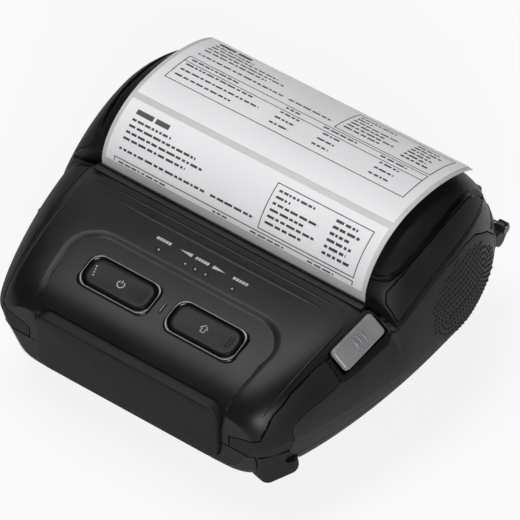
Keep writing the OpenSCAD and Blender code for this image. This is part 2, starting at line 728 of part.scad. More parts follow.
// A sheet between two heights off the path, with straight lines from edge to edge
module sheet(half, from, to, first, last) {
    n = last - first + 1;
    cols = 4;
    function at(i, c, h) = let (s = -1 + 2 * c / cols, p = strip_path(s * half / (media_w / 2)),
        q = p[i + first] + h * normal_at(p, i + first)) [s * half, q[0], q[1]];
    w = cols + 1;
    translate([0, y_tear, 0]) polyhedron(
        points = [for (h = [from, to], i = [0 : n - 1], c = [0 : cols]) at(i, c, h)],
        faces = concat(
            [for (i = [0 : n - 2], c = [0 : cols - 1]) each
                [[i * w + c, (i + 1) * w + c, i * w + c + 1], [(i + 1) * w + c, (i + 1) * w + c + 1, i * w + c + 1]]],
            [for (i = [0 : n - 2], c = [0 : cols - 1]) let (k = n * w) each
                [[k + i * w + c, k + i * w + c + 1, k + (i + 1) * w + c],
                 [k + (i + 1) * w + c, k + i * w + c + 1, k + (i + 1) * w + c + 1]]],
            [for (c = [0 : cols - 1]) let (k = n * w, e = (n - 1) * w) each
                [[c, c + 1, k + c], [c + 1, k + c + 1, k + c],
                 [e + c, k + e + c, e + c + 1], [e + c + 1, k + e + c, k + e + c + 1]]],
            [for (i = [0 : n - 2]) let (k = n * w) each
                [[i * w, k + i * w, (i + 1) * w], [(i + 1) * w, k + i * w, k + (i + 1) * w],
                 [i * w + cols, (i + 1) * w + cols, k + i * w + cols],
                 [(i + 1) * w + cols, k + (i + 1) * w + cols, k + i * w + cols]]]));
}
label_inset = 1.6;
label_split = 12;
module label_strip() color([0.8, 0.79, 0.8]) sheet(media_w / 2, -liner_t / 2, liner_t / 2, 0, len(strip_path(0)) - 1);
module labels() color([0.95, 0.94, 0.96]) {
    sheet(media_w / 2 - label_inset, liner_t / 2, liner_t / 2 + label_t, 7, label_split);
    sheet(media_w / 2 - label_inset, liner_t / 2, liner_t / 2 + label_t, label_split + 1, len(strip_path(0)) - 1);
}

module media_sensor() color([0.1, 0.1, 0.1]) block([-6, 6], [20, 25], [bridge_z - 4.4, bridge_z - 2]);

module main_board() color([0.1, 0.35, 0.2]) block([-55.5, 34], [battery_y - 3, bracket_y - 3.4], [board_z, board_z + board_t]);
module board_parts() color([0.08, 0.08, 0.09]) {
    z = board_z + board_t;
    block([-20, -6], [-34, -20], [z, z + 1.4]);
    block([4, 12], [-30, -20], [z, z + 1.2]);
    block([-44, -26], [-46, -34], [z, z + 2.6]);
    for (x = [18, 25]) translate([x, y_tear - 38, z]) cylinder(r = 3, h = 3);
    block([-4, 20], [-18.5, -15.5], [z, z + 3]);
}
module key_board() color([0.1, 0.35, 0.2]) at_key(0) block_at([-36, 36], [-9, 21], [-8.4, -7]);
module block_at(x, y, z) translate([x[0], y[0], z[0]]) cube([x[1] - x[0], y[1] - y[0], z[1] - z[0]]);
module key_switches() color([0.3, 0.3, 0.31]) at_key(0) {
    for (side = [-1, 1]) {
        block_at([side * key_x - 3, side * key_x + 3], [-3, 3], [-7, -5.6]);
        translate([side * key_x, 0, -5.6]) cylinder(r = 1.4, h = 0.35);
    }
    for (x = led_x) block_at([x - 0.8, x + 0.8], [18.5, 20], [-7, -6.2]);
}
module light_pipes() color([0.85, 0.86, 0.88, 0.8]) for (x = led_x)
    translate([x, y_tear + led_y, deck_h - 4.95]) cylinder(r = led_r, h = 4.45);

module dc_jack() color([0.1, 0.1, 0.1]) difference() {
    block([-64, -54], [-31, -23], [board_z + board_t, board_z + board_t + 6.7]);
    rod(-70, -56, 2.85, -27, board_z + board_t + 3.35);
}
module usb_socket() color(steel) difference() {
    block([-62.6, -54], [-40.5, -32.5], [board_z + board_t, board_z + board_t + 3.4]);
    block([-70, -56], [-39.9, -33.1], [board_z + board_t + 0.5, board_z + board_t + 2.9]);
}
module port_cover() color(rubber) difference() {
    union() {
        intersection() {
            difference() {
                form();
                form(2);
            }
            block([-far, -60], [port_y[0] + gap, port_pin_y], [port_z[0] + gap, port_z[1] - gap]);
        }
        translate([port_pin_x, y_tear + port_pin_y, port_z[0] + gap])
            cylinder(r = port_barrel, h = port_z[1] - port_z[0] - 2 * gap);
    }
    port_pin_bore(port_pin_r + run);
}
module port_pin_bore(r) translate([port_pin_x, y_tear + port_pin_y, port_z[0] - 0.6])
    cylinder(r = r, h = port_z[1] - port_z[0] + 1.2);
module port_pin() color(steel) port_pin_bore(port_pin_r);

module battery_pack() color([0.16, 0.16, 0.18]) block([battery_x, battery_x + battery_l],
    [battery_y, battery_y + battery_d], [battery_z, battery_z + battery_h]);
module battery_door() color(black) difference() {
    intersection() {
        form();
        battery_space();
        block([-far, battery_x], [-far, far], [0, far]);
    }
    block([battery_x - 6, battery_x + 1], [battery_y + 2, battery_y + battery_d - 2],
        [battery_z + 2, battery_z + battery_h - 2]);
    battery_latch_slot(gap);
}
module battery_latch_slot(c = 0) block([-far, -65.5 + c], [-32 - c, -20 + c + (c > 0 ? 2.5 : 0)], [20 - c, 24 + c]);
module battery_latch() color([0.3, 0.3, 0.31]) intersection() {
    form(0.3);
    battery_latch_slot();
}

module case_screws() color(steel) for (p = screw_places) translate([p[0], y_tear + p[1], joint_h - 11]) {
    cylinder(r = 2.8, h = 2);
    cylinder(r = screw_r, h = 16);
}
module feet() color(rubber) for (p = foot_places) translate([p[0], y_tear + p[1], 0]) cylinder(r = foot_r, h = 5);
module strap_bar() color(steel) {
    rod(-64, 64, 1.2, bar_y, bar_z);
    for (x = [-64.2, 63.6]) rod(x, x + 0.6, 1.8, bar_y, bar_z);
}
module head_cable() color([0.85, 0.85, 0.8]) block([-14, 14], [bracket_y + 0.1, bracket_y + 0.5], [board_z - 0.6, platen_z - 8]);

bottom_case();
top_case();
lid();
front_pad();
corner_bumper_left();
corner_bumper_right();
corner_foot_left();
corner_foot_right();
side_grip_left();
side_grip_right();
lid_pad_left();
lid_pad_right();
key_trim();
power_key();
feed_key();
release_button();
tear_bar();
hinge_pin();
lid_frame();
platen_bushings();
platen_shaft();
platen_rubber();
platen_gear();
idler_gear();
idler_pin();
motor_body();
motor_rotor();
gear_plate();
print_head();
heat_sink();
head_springs();
head_bracket();
latch_shaft();
latch_hook_left();
latch_hook_right();
roll_tray();
label_roll();
roll_core();
label_strip();
labels();
media_sensor();
main_board();
board_parts();
key_board();
key_switches();
light_pipes();
dc_jack();
usb_socket();
port_cover();
port_pin();
battery_pack();
battery_door();
battery_latch();
case_screws();
feet();
strap_bar();
head_cable();
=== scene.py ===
import json
import math
import random

import bmesh
import bpy
import numpy as np
from mathutils import Matrix, Vector
from mathutils.bvhtree import BVHTree


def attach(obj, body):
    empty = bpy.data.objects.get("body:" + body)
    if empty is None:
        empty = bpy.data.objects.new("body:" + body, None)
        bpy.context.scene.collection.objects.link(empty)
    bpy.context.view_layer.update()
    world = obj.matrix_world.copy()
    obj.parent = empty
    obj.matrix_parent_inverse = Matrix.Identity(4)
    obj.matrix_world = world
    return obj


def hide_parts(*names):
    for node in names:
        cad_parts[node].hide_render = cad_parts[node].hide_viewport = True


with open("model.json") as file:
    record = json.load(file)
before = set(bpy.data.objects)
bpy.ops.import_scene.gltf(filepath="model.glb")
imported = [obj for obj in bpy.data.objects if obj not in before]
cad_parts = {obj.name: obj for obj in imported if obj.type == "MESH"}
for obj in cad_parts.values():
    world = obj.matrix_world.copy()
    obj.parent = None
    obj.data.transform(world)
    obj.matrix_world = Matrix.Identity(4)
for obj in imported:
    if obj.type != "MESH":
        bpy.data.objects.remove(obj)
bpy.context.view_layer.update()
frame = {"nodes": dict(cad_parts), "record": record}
nodes = frame["nodes"]
collection = bpy.context.scene.collection

# Lengths are in millimetres and y is measured from the tear edge; row() turns them into the shared frame
body = {"width": 156, "front": 61.5, "pad": 2, "rear": 72, "reach": 78.2, "deck": 54, "crown": 72,
        "belly": 32, "floor": 3, "crownRun": 33, "yWide": 32, "noseRun": 92.5, "tailRun": 78, "fallRun": 42,
        "taper": 0.25, "tuck": 0.19, "slopeW": 0.85, "slopeH": 0.294, "upper": 10.7, "lower": 13.7}
yTear = body["front"] - (body["front"] + body["reach"]) / 2
yCap = body["pad"] - body["front"]


def row(p):
    return Vector((p[0] / 1000, (p[1] + yTear) / 1000, p[2] / 1000))


def lame(u, n):
    return np.maximum(0, 1 - np.minimum(1, np.abs(u)) ** n) ** (1 / n)


def halfAt(y):
    u = (body["yWide"] - y) / body["noseRun"]
    nose = (1 - body["taper"] * u ** 2) * lame(u, 20)
    tail = lame((y - body["yWide"]) / body["tailRun"], 1.75)
    return body["width"] / 2 * np.where(y < body["yWide"], nose, tail)


def topAt(y):
    belly, deck, crown, run = (body[key] for key in ("belly", "deck", "crown", "crownRun"))
    front = belly + (deck - belly) * lame(y / body["front"], 2.7)
    rise = deck + (crown - deck) * lame((run - y) / run, 2)
    fall = belly + (crown - belly) * lame((y - run) / body["fallRun"], 2.6)
    return np.where(y < 0, front, np.where(y < run, rise, fall))


def lowAt(y):
    share = np.where(y < 0, lame(y / body["front"], 3.75), lame(y / (body["rear"] + 3), 6))
    return body["belly"] - (body["belly"] - body["floor"]) * share


# Half width, top and underside at a depth t under the surface
def outline(y, t):
    if t > 0:
        half = np.minimum(halfAt(y) - t, np.minimum(halfAt(y - t), halfAt(y + t)))
        top = np.minimum(topAt(y) - t, np.minimum(topAt(y - t), topAt(y + t)))
        low = np.maximum(lowAt(y) + t, np.maximum(lowAt(y - t), lowAt(y + t)))
        return half, top, low
    yy = np.maximum(y, yCap)
    return halfAt(yy) - t, topAt(yy) - t, lowAt(yy) + t


# 1 on the surface and less inside, for an array of points
def level(p, t):
    half, top, low = outline(p[:, 1], t)
    belly = body["belly"]
    up = p[:, 2] >= belly
    w = np.where(up, (p[:, 2] - belly) / np.maximum(top - belly, 1e-6),
                 (belly - p[:, 2]) / np.maximum(belly - low, 1e-6))
    w = np.maximum(w, 0)
    s = np.clip(w / 0.25, 0, 1)
    squeeze = 0.985 + 0.015 * s * s * (3 - 2 * s)
    narrow = (1 - body["tuck"] * np.minimum(w, 1)) * squeeze
    c = np.abs(p[:, 0]) / np.maximum(half * np.where(up, 1, narrow), 1e-6)
    e1, e2 = body["upper"], body["lower"]
    high = (c ** e1 + w ** e1 + (body["slopeW"] * c + body["slopeH"] * w) ** e1) ** (1 / e1)
    under = (c ** e2 + w ** e2) ** (1 / e2)
    return np.where(up, high, under)


# Points moved in their own cross section onto the exact surface
def toSurface(p, t):
    q = p.copy()
    for _ in range(4):
        r = np.maximum(level(q, t), 0.05)
        q[:, 0] = q[:, 0] / r
        q[:, 2] = body["belly"] + (q[:, 2] - body["belly"]) / r
    return q


def surfaceNormal(p, t):
    g = np.zeros_like(p)
    for k in range(3):
        d = np.zeros(3)
        d[k] = 0.12
        g[:, k] = level(p + d, t) - level(p - d, t)
    return g / np.maximum(np.linalg.norm(g, axis=1), 1e-9)[:, None]


# Where a line leaves the form, found by halving between a place inside and one outside
def leaving(pointAt, inside, outside, halvings):
    for _ in range(halvings):
        middle = (inside + outside) / 2
        if level(np.array([pointAt(middle)], float), 0)[0] < 1:
            inside = middle
        else:
            outside = middle
    return inside


# Height of the case's top over a place, found between its widest level and a height above the top
def heightOver(x, y, start, halvings=26):
    return leaving(lambda z: (x, y, z), body["belly"], start, halvings)


# The CAD's own loft at a depth t, which tells which of its faces lie on it
castFaces = {"around": 40, "along": 6, "depths": (0, 0.8)}


def castForm(t, n, k):
    front, crown, rear = yCap + t, body["crownRun"], body["rear"] - t
    ys = [front * math.cos(math.pi / 2 * i / k) for i in range(k + 1)]
    ys += [crown * (1 - math.cos(math.pi / 2 * i / k)) for i in range(1, k + 1)]
    ys += [crown + (rear - crown) * math.sin(math.pi / 2 * i / k) for i in range(1, k + 1)]
    verts, faces = [], []
    for y in ys:
        half, top, low = (float(v) for v in outline(np.array(y), t))
        for j in range(n):
            a = 2 * math.pi * j / n
            up = math.sin(a) >= -0.0001
            e, c, w = body["upper"] if up else body["lower"], abs(math.cos(a)), abs(math.sin(a))
            r = (c ** e + w ** e + ((body["slopeW"] * c + body["slopeH"] * w) ** e if up else 0)) ** (-1 / e)
            v = r * math.sin(a)
            verts.append((half * r * math.cos(a) * (1 if up else 1 - body["tuck"] * abs(v)), y,
                          body["belly"] + v * (top - body["belly"] if up else body["belly"] - low)))
    for i in range(len(ys) - 1):
        for j in range(n):
            a, b = i * n + j, i * n + (j + 1) % n
            faces += [(a, b, a + n), (b, b + n, a + n)]
    return BVHTree.FromPolygons(verts, faces)


lofts = {t: castForm(t, castFaces["around"], castFaces["along"]) for t in castFaces["depths"]}


# Materials: each is one Principled surface whose colour, roughness and bump come from noise in object space
def link(tree, a, b):
    tree.links.new(a, b)


def node(tree, kind, **values):
    n = tree.nodes.new(kind)
    for key, value in values.items():
        setattr(n, key, value)
    return n


def noise(tree, space, scale, detail=3.0, stretch=None):
    n = node(tree, "ShaderNodeTexNoise")
    n.inputs["Scale"].default_value = scale
    n.inputs["Detail"].default_value = detail
    if stretch:
        m = node(tree, "ShaderNodeMapping")
        m.inputs["Scale"].default_value = stretch
        link(tree, space, m.inputs["Vector"])
        link(tree, m.outputs["Vector"], n.inputs["Vector"])
    else:
        link(tree, space, n.inputs["Vector"])
    return n.outputs["Fac"]


def spread(tree, value, low, high, fromLow=0.3, fromHigh=0.7):
    m = node(tree, "ShaderNodeMapRange")
    for name, v in (("From Min", fromLow), ("From Max", fromHigh), ("To Min", low), ("To Max", high)):
        m.inputs[name].default_value = v
    link(tree, value, m.inputs["Value"])
    return m.outputs["Result"]


def blendColour(tree, value, a, b):
    m = node(tree, "ShaderNodeMix", data_type="RGBA")
    m.inputs["A"].default_value = (*a, 1)
    m.inputs["B"].default_value = (*b, 1)
    link(tree, value, m.inputs["Factor"])
    return m.outputs["Result"]


# A finish states its name, dark and light colour, roughness range, the grain's scale and its depth in mm and
# the scale of its patches; edge is a rounding in mm
def finish(name, dark, light, rough, grain, depth, cloud, metal=0.0, coat=0.0, edge=0.0, specular=0.5,
           stretch=None, clear=0.0):
    made = bpy.data.materials.new(name)
    made.use_nodes = True
    tree = made.node_tree
    shader = tree.nodes["Principled BSDF"]
    space = node(tree, "ShaderNodeTexCoord").outputs["Object"]
    shader.inputs["Metallic"].default_value = metal
    shader.inputs["Coat Weight"].default_value = coat
    shader.inputs["Coat Roughness"].default_value = 0.1
    shader.inputs["Specular IOR Level"].default_value = specular
    shader.inputs["Transmission Weight"].default_value = clear
    patches = noise(tree, space, cloud, 4)
    link(tree, blendColour(tree, spread(tree, patches, 0, 1), dark, light), shader.inputs["Base Color"])
    fine = noise(tree, space, grain, 2, stretch)
    both = node(tree, "ShaderNodeMath", operation="MULTIPLY_ADD")
    link(tree, fine, both.inputs[0])
    both.inputs[1].default_value = 0.5
    link(tree, patches, both.inputs[2])
    link(tree, spread(tree, both.outputs[0], *rough, 0.5, 1.0), shader.inputs["Roughness"])
    bump = node(tree, "ShaderNodeBump")
    bump.inputs["Strength"].default_value = 1
    bump.inputs["Distance"].default_value = depth / 1000
    link(tree, fine, bump.inputs["Height"])
    if edge > 0:
        bevel = node(tree, "ShaderNodeBevel", samples=4)
        bevel.inputs["Radius"].default_value = edge / 1000
        link(tree, bevel.outputs["Normal"], bump.inputs["Normal"])
    link(tree, bump.outputs["Normal"], shader.inputs["Normal"])
    return made


finishes = {
    "shell": finish("shellPlastic", (0.0078, 0.0071, 0.0074), (0.0112, 0.0102, 0.0106), (0.3, 0.4),
                    1700, 0.016, 40, edge=0.3, specular=0.22),
    "pad": finish("padRubber", (0.0115, 0.0115, 0.0132), (0.0165, 0.0165, 0.0188), (0.46, 0.6),
                  2300, 0.025, 70, edge=0.3, specular=0.16),
    "gloss_black": finish("keyFramePlastic", (0.006, 0.006, 0.007), (0.009, 0.009, 0.010), (0.12, 0.2),
                          900, 0.004, 50, coat=0.4, edge=0.15),
    "key": finish("keyPlastic", (0.0075, 0.0075, 0.009), (0.0105, 0.0105, 0.012), (0.24, 0.3),
                  1400, 0.003, 50, edge=0.1, specular=0.1),
    "grey_key": finish("buttonPlastic", (0.2, 0.203, 0.21), (0.27, 0.274, 0.282), (0.2, 0.3),
                       1300, 0.008, 90, coat=0.4, edge=0.15),
    "steel": finish("brushedSteel", (0.42, 0.42, 0.43), (0.56, 0.56, 0.57), (0.26, 0.4),
                    700, 0.006, 90, metal=1.0, stretch=(0.05, 1, 1)),
    "motor_grey": finish("motorCan", (0.22, 0.23, 0.24), (0.3, 0.31, 0.32), (0.35, 0.5),
                         1200, 0.02, 60, metal=0.6),
    "inner_plastic": finish("innerPlastic", (0.02, 0.02, 0.022), (0.035, 0.035, 0.038), (0.5, 0.65),
                            1200, 0.03, 50),
    "bronze": finish("sinteredBronze", (0.38, 0.25, 0.1), (0.5, 0.35, 0.16), (0.35, 0.5),
                     2500, 0.03, 120, metal=0.9),
    "roller_rubber": finish("rollerRubber", (0.018, 0.018, 0.02), (0.03, 0.03, 0.032), (0.6, 0.75),
                            1800, 0.02, 80, stretch=(0.1, 1, 1)),
    "gear_plastic": finish("gearPlastic", (0.05, 0.05, 0.052), (0.075, 0.075, 0.078), (0.35, 0.48),
                           900, 0.01, 60),
    "ceramic": finish("headCeramic", (0.62, 0.6, 0.54), (0.72, 0.7, 0.65), (0.15, 0.25),
                      900, 0.004, 60, coat=0.3),
    "aluminium": finish("sinkAluminium", (0.55, 0.56, 0.57), (0.68, 0.69, 0.7), (0.3, 0.42),
                        800, 0.01, 80, metal=1.0, stretch=(0.08, 1, 1)),
    "paper": finish("labelPaper", (0.79, 0.785, 0.81), (0.84, 0.835, 0.855), (0.42, 0.55),
                    900, 0.006, 26),
    "liner": finish("linerPaper", (0.50, 0.49, 0.50), (0.58, 0.57, 0.58), (0.34, 0.45), 900, 0.006, 40),
    "card": finish("coreCard", (0.3, 0.2, 0.12), (0.42, 0.3, 0.2), (0.7, 0.85), 700, 0.05, 90),
    "board_green": finish("boardMask", (0.006, 0.08, 0.035), (0.012, 0.13, 0.06), (0.22, 0.35),
                          900, 0.01, 120),
    "clear": finish("lightPipe", (0.03, 0.03, 0.032), (0.05, 0.05, 0.052), (0.08, 0.14),
                    500, 0.002, 60, clear=0.3),
    "battery_black": finish("batteryWrap", (0.02, 0.02, 0.022), (0.03, 0.03, 0.033), (0.4, 0.5),
                            1200, 0.015, 60),
    "darkSteel": finish("blackenedSteel", (0.012, 0.012, 0.013), (0.022, 0.022, 0.024), (0.35, 0.5),
                        1200, 0.01, 80, metal=0.5),
    "gripDot": finish("gripDotRubber", (0.002, 0.002, 0.0024), (0.0034, 0.0034, 0.0038), (0.4, 0.5),
                      1500, 0.004, 70, specular=0.3),
    "grip": finish("gripRubber", (0.0225, 0.0215, 0.0205), (0.031, 0.0298, 0.0285), (0.42, 0.56),
                   2300, 0.025, 70, edge=0.3, specular=0.2),
}
ink = finish("labelInk", (0.035, 0.034, 0.038), (0.07, 0.068, 0.074), (0.45, 0.6), 2500, 0.002, 300)
iconPaint = finish("iconPaint", (0.36, 0.36, 0.37), (0.5, 0.5, 0.51), (0.4, 0.5), 1500, 0.002, 200)
# Nodes whose finish differs from the one of their slot in the record
ownFinish = {"latch_hook_left": "darkSteel", "latch_hook_right": "darkSteel", "latch_shaft": "darkSteel",
             "tear_bar": "darkSteel", "gear_plate": "darkSteel", "strap_bar": "gloss_black",
             "side_grip_left": "grip", "side_grip_right": "grip"}
slotOf = {r["node"]: r["material_slot"] for r in frame["record"]["subparts"]}
bodyOf = {n: b for b, members in frame["record"]["behaviour"]["bodies"].items() for n in members}
for name, o in nodes.items():
    o.data.materials.clear()
    o.data.materials.append(finishes[ownFinish.get(name, slotOf[name])])
print("materials ready:", len(finishes) + 2)


# New pieces
def addPiece(name, verts, faces, material, rides, smooth=40, stands=()):
    mesh = bpy.data.meshes.new(name)
    mesh.from_pydata([tuple(v) for v in verts], [], [tuple(f) for f in faces])
    bm = bmesh.new()
    bm.from_mesh(mesh)
    bmesh.ops.remove_doubles(bm, verts=bm.verts, dist=1e-7)
    bmesh.ops.recalc_face_normals(bm, faces=bm.faces)
    bm.to_mesh(mesh)
    bm.free()
    mesh.materials.append(material)
    o = bpy.data.objects.new(name, mesh)
    collection.objects.link(o)
    softEdges(mesh, smooth)
    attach(o, rides)
    if stands:
        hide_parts(*stands)


def softEdges(mesh, angle):
    bm = bmesh.new()
    bm.from_mesh(mesh)
    limit = math.radians(angle)
    for e in bm.edges:
        e.smooth = len(e.link_faces) == 2 and e.calc_face_angle(0) < limit
    for f in bm.faces:
        f.smooth = True
    bm.to_mesh(mesh)
    bm.free()


# The deck drops softly to the recess round the keys: its outline is a quadrilateral grown by a radius. The
# mesh is fine near the drop and coarse elsewhere
recessEdge = {"corners": [(29, -65), (32, -36)], "radius": 10, "drop": 0.79, "run": 2.8, "from": 33,
              "fade": 4, "edge": 0.5, "centre": 1.3, "band": 1.6, "rearEnd": -20, "low": 32}
coarseEdge = 2.4


# Distance outside the recess outline, at points of the deck
def recessGap(x, y):
    (x0, y0), (x1, y1) = recessEdge["corners"]
    dx, dy = x1 - x0, y1 - y0
    t = np.clip(((x - x0) * dx + (y - y0) * dy) / (dx * dx + dy * dy), 0, 1)
    side = np.hypot(x - x0 - t * dx, y - y0 - t * dy)
    return np.where((x < x1) & (y > y1), y - y1, side) - recessEdge["radius"]


# How far each point of the case's top moves outwards
def deckShape(p):
    x, y = np.abs(p[:, 0]), p[:, 1]
    high = np.clip((p[:, 2] - recessEdge["from"]) / recessEdge["fade"], 0, 1)
    near = np.clip(1 - recessGap(x, y) / recessEdge["run"], 0, 1)
    return -recessEdge["drop"] * near * near * (3 - 2 * near) * high


def recessMesh(p):
    if p[1] > recessEdge["rearEnd"] or p[2] < recessEdge["low"]:
        return coarseEdge
    gap = float(recessGap(np.array(abs(p[0])), np.array(p[1])))
    away = max(0, abs(gap - recessEdge["centre"]) - recessEdge["band"])
    return min(coarseEdge, recessEdge["edge"] + 0.5 * away)


# A copy of a CAD node whose faceted outside is laid on the exact form
skin = {"depths": castFaces["depths"], "cornerGap": 0.035, "centreGap": 0.05, "slack": 1.35, "rounds": 9,
        "sharp": 32, "step": 0.1}


def smoothCopy(name, lengthAt=None, shape=None):
    depths = skin["depths"]
    bm = bmesh.new()
    bm.from_mesh(nodes[name].data)
    bm.transform(Matrix.Translation((0, -yTear, 0)) @ Matrix.Scale(1000, 4))
    bmesh.ops.remove_doubles(bm, verts=bm.verts, dist=2e-3)
    bmesh.ops.dissolve_degenerate(bm, edges=bm.edges, dist=1e-4)
    bm.faces.ensure_lookup_table()
    mark = bm.faces.layers.int.new("depth")
    for f in bm.faces:
        centre = f.calc_center_median()
        for k, t in enumerate(depths):
            near = lofts[t].find_nearest
            onForm = all((near(v.co)[3] or 0) < skin["cornerGap"] for v in f.verts)
            if onForm and near(centre)[3] < skin["centreGap"]:
                f[mark] = k + 1
                break

    def limit(e):
        middle = (e.verts[0].co + e.verts[1].co) / 2
        return (lengthAt(middle) if lengthAt else coarseEdge) * skin["slack"]
    for _ in range(skin["rounds"]):
        long = [e for e in bm.edges if any(f[mark] for f in e.link_faces) and e.calc_length() > limit(e)]
        if not long:
            break
        bmesh.ops.subdivide_edges(bm, edges=long, cuts=1)
        bmesh.ops.triangulate(bm, faces=bm.faces)
    bm.verts.ensure_lookup_table()
    kind = np.zeros(len(bm.verts), int)
    for f in bm.faces:
        if f[mark]:
            for v in f.verts:
                kind[v.index] = max(kind[v.index], 1) if f[mark] == 1 else (kind[v.index] or 2)
    bm.verts.index_update()
    co = np.array([v.co for v in bm.verts])
    for k, t in enumerate(depths):
        chosen = np.nonzero(kind == k + 1)[0]
        if len(chosen):
            co[chosen] = toSurface(co[chosen], t)
    if shape is not None:
        chosen = np.nonzero(kind == 1)[0]
        co[chosen] += surfaceNormal(co[chosen], 0) * shape(co[chosen])[:, None]
    for v, c in zip(bm.verts, co):
        v.co = c
    edgeLimit = math.radians(skin["sharp"])
    for e in bm.edges:
        same = len(e.link_faces) == 2 and e.link_faces[0][mark] == e.link_faces[1][mark]
        e.smooth = same and (e.link_faces[0][mark] > 0 or e.calc_face_angle(0) < edgeLimit)
    for f in bm.faces:
        f.smooth = True
    faceMark = [f[mark] for f in bm.faces]
    mesh = bpy.data.meshes.new(name + "Smooth")
    bm.to_mesh(mesh)
    bm.free()
    # Exact normals on the outside, so that thin triangles don't show in the reflections
    normals = np.zeros(len(mesh.loops) * 3, np.float32)
    mesh.corner_normals.foreach_get("vector", normals)
    normals = normals.reshape(-1, 3)
    vertexOf = np.zeros(len(mesh.loops), np.int32)
    mesh.loops.foreach_get("vertex_index", vertexOf)
    loopMark = np.repeat(np.array(faceMark), 3)
    if shape is None:
        for k, t in enumerate(depths):
            chosen = np.nonzero(loopMark == k + 1)[0]
            if len(chosen):
                normals[chosen] = surfaceNormal(co[vertexOf[chosen]], t)
    else:
        def moved(q):
            q = toSurface(q, 0)
            return q + surfaceNormal(q, 0) * shape(q)[:, None]
        chosen = np.nonzero(loopMark == 1)[0]
        base = toSurface(co[vertexOf[chosen]], 0)
        n0 = surfaceNormal(base, 0)
        side = np.cross(n0, np.array([0, 1.0, 0]))
        side /= np.maximum(np.linalg.norm(side, axis=1), 1e-9)[:, None]
        along = np.cross(n0, side)
        da, db = (moved(base + d * skin["step"]) - moved(base - d * skin["step"]) for d in (side, along))
        n = np.cross(da, db)
        n *= np.sign(np.sum(n * n0, axis=1))[:, None]
        normals[chosen] = n / np.maximum(np.linalg.norm(n, axis=1), 1e-9)[:, None]
        chosen = np.nonzero(loopMark == 2)[0]
        if len(chosen):
            normals[chosen] = surfaceNormal(co[vertexOf[chosen]], depths[1])
    mesh.transform(Matrix.Scale(0.001, 4) @ Matrix.Translation((0, yTear, 0)))
    mesh.normals_split_custom_set([tuple(v) for v in normals])
    mesh.materials.append(finishes[ownFinish.get(name, slotOf[name])])
    words = name.split("_")
    o = bpy.data.objects.new(words[0] + "".join(w.capitalize() for w in words[1:]) + "Skin", mesh)
    collection.objects.link(o)
    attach(o, bodyOf[name])
    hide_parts(name)


smoothCopy("top_case", recessMesh, deckShape)
for name in ("bottom_case", "lid", "side_grip_left", "side_grip_right", "corner_bumper_left",
             "corner_bumper_right", "lid_pad_left", "lid_pad_right", "port_cover", "battery_door"):
    smoothCopy(name)

# Feet under the front corners: rounded edges, an underside that rises to the rear. In metres and degrees
cornerFoot = {"bevel": 0.0014, "steps": 4, "angle": 25, "low": 0.012, "rise": 0.0045, "from": -0.0555,
              "run": 0.011, "flat": 3, "smooth": 40}
for side in ("left", "right"):
    source = nodes["corner_foot_" + side]
    bm = bmesh.new()
    bm.from_mesh(source.data)
    bmesh.ops.remove_doubles(bm, verts=bm.verts, dist=2e-6)
    flat = math.radians(cornerFoot["flat"])
    bmesh.ops.dissolve_limit(bm, angle_limit=flat, verts=bm.verts, edges=bm.edges)
    for v in bm.verts:
        if v.co.z < cornerFoot["low"]:
            v.co.z += cornerFoot["rise"] * min(1, max(0, (v.co.y - cornerFoot["from"]) / cornerFoot["run"]))
    bmesh.ops.triangulate(bm, faces=bm.faces)
    mesh = bpy.data.meshes.new("cornerFoot" + side.capitalize())
    bm.to_mesh(mesh)
    bm.free()
    mesh.materials.append(finishes["pad"])
    o = bpy.data.objects.new("cornerFoot" + side.capitalize(), mesh)
    collection.objects.link(o)
    rounding = o.modifiers.new("rounding", "BEVEL")
    rounding.width, rounding.segments = cornerFoot["bevel"], cornerFoot["steps"]
    rounding.limit_method, rounding.angle_limit = "ANGLE", math.radians(cornerFoot["angle"])
    graph = bpy.context.evaluated_depsgraph_get()
    graph.update()
    o.data = bpy.data.meshes.new_from_object(o.evaluated_get(graph), depsgraph=graph)
    o.modifiers.clear()
    softEdges(o.data, cornerFoot["smooth"])
    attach(o, "chassis")
    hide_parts("corner_foot_" + side)
print("outer skins laid on the exact form")


def roundedRect(l, d, r, steps=8):
    points = []
    for k in range(4):
        cx, cy = (l / 2 - r) * (1, -1, -1, 1)[k], (d / 2 - r) * (1, 1, -1, -1)[k]
        for i in range(steps + 1):
            a = math.radians(90 * k + 90 * i / steps)
            points.append((cx + r * math.cos(a), cy + r * math.sin(a)))
    return points


# Closed plate from rings of (inset, height), the first at the bottom; dish sinks its middle
def plate(l, d, r, rings, dish=0.0):
    verts, faces = [], []
    n = 0
    for inset, h in rings:
        loop = roundedRect(l - 2 * inset, d - 2 * inset, max(r - inset, 0.25))
        n = len(loop)
        verts += [(x, y, h) for x, y in loop]
    for i in range(len(rings) - 1):
        for j in range(n):
            faces.append((i * n + j, i * n + (j + 1) % n, (i + 1) * n + (j + 1) % n, (i + 1) * n + j))
    last = (len(rings) - 1) * n
    verts.append((0, 0, rings[-1][1] - dish))
    verts.append((0, 0, rings[0][1]))
    for j in range(n):
        faces.append((last + j, last + (j + 1) % n, len(verts) - 2))
        faces.append(((j + 1) % n, j, len(verts) - 1))
    return verts, faces


# Closed frame whose rings of (inset, height) run round it and meet again
def ring(l, d, r, rings):
    verts, faces = [], []
    for inset, h in rings:
        verts += [(x, y, h) for x, y in roundedRect(l - 2 * inset, d - 2 * inset, r + 0.7 * inset)]
    m = len(rings)
    n = len(verts) // m
    for i in range(m):
        after = (i + 1) % m
        for j in range(n):
            faces.append((i * n + j, i * n + (j + 1) % n, after * n + (j + 1) % n, after * n + j))
    return verts, faces


def placed(verts, matrix):
    return [row(matrix @ Vector(v)) for v in verts]


# Pieces joined into one mesh
def joined(pieces):
    verts, faces = [], []
    for v, f in pieces:
        faces += [tuple(i + len(verts) for i in q) for q in f]
        verts += v
    return verts, faces


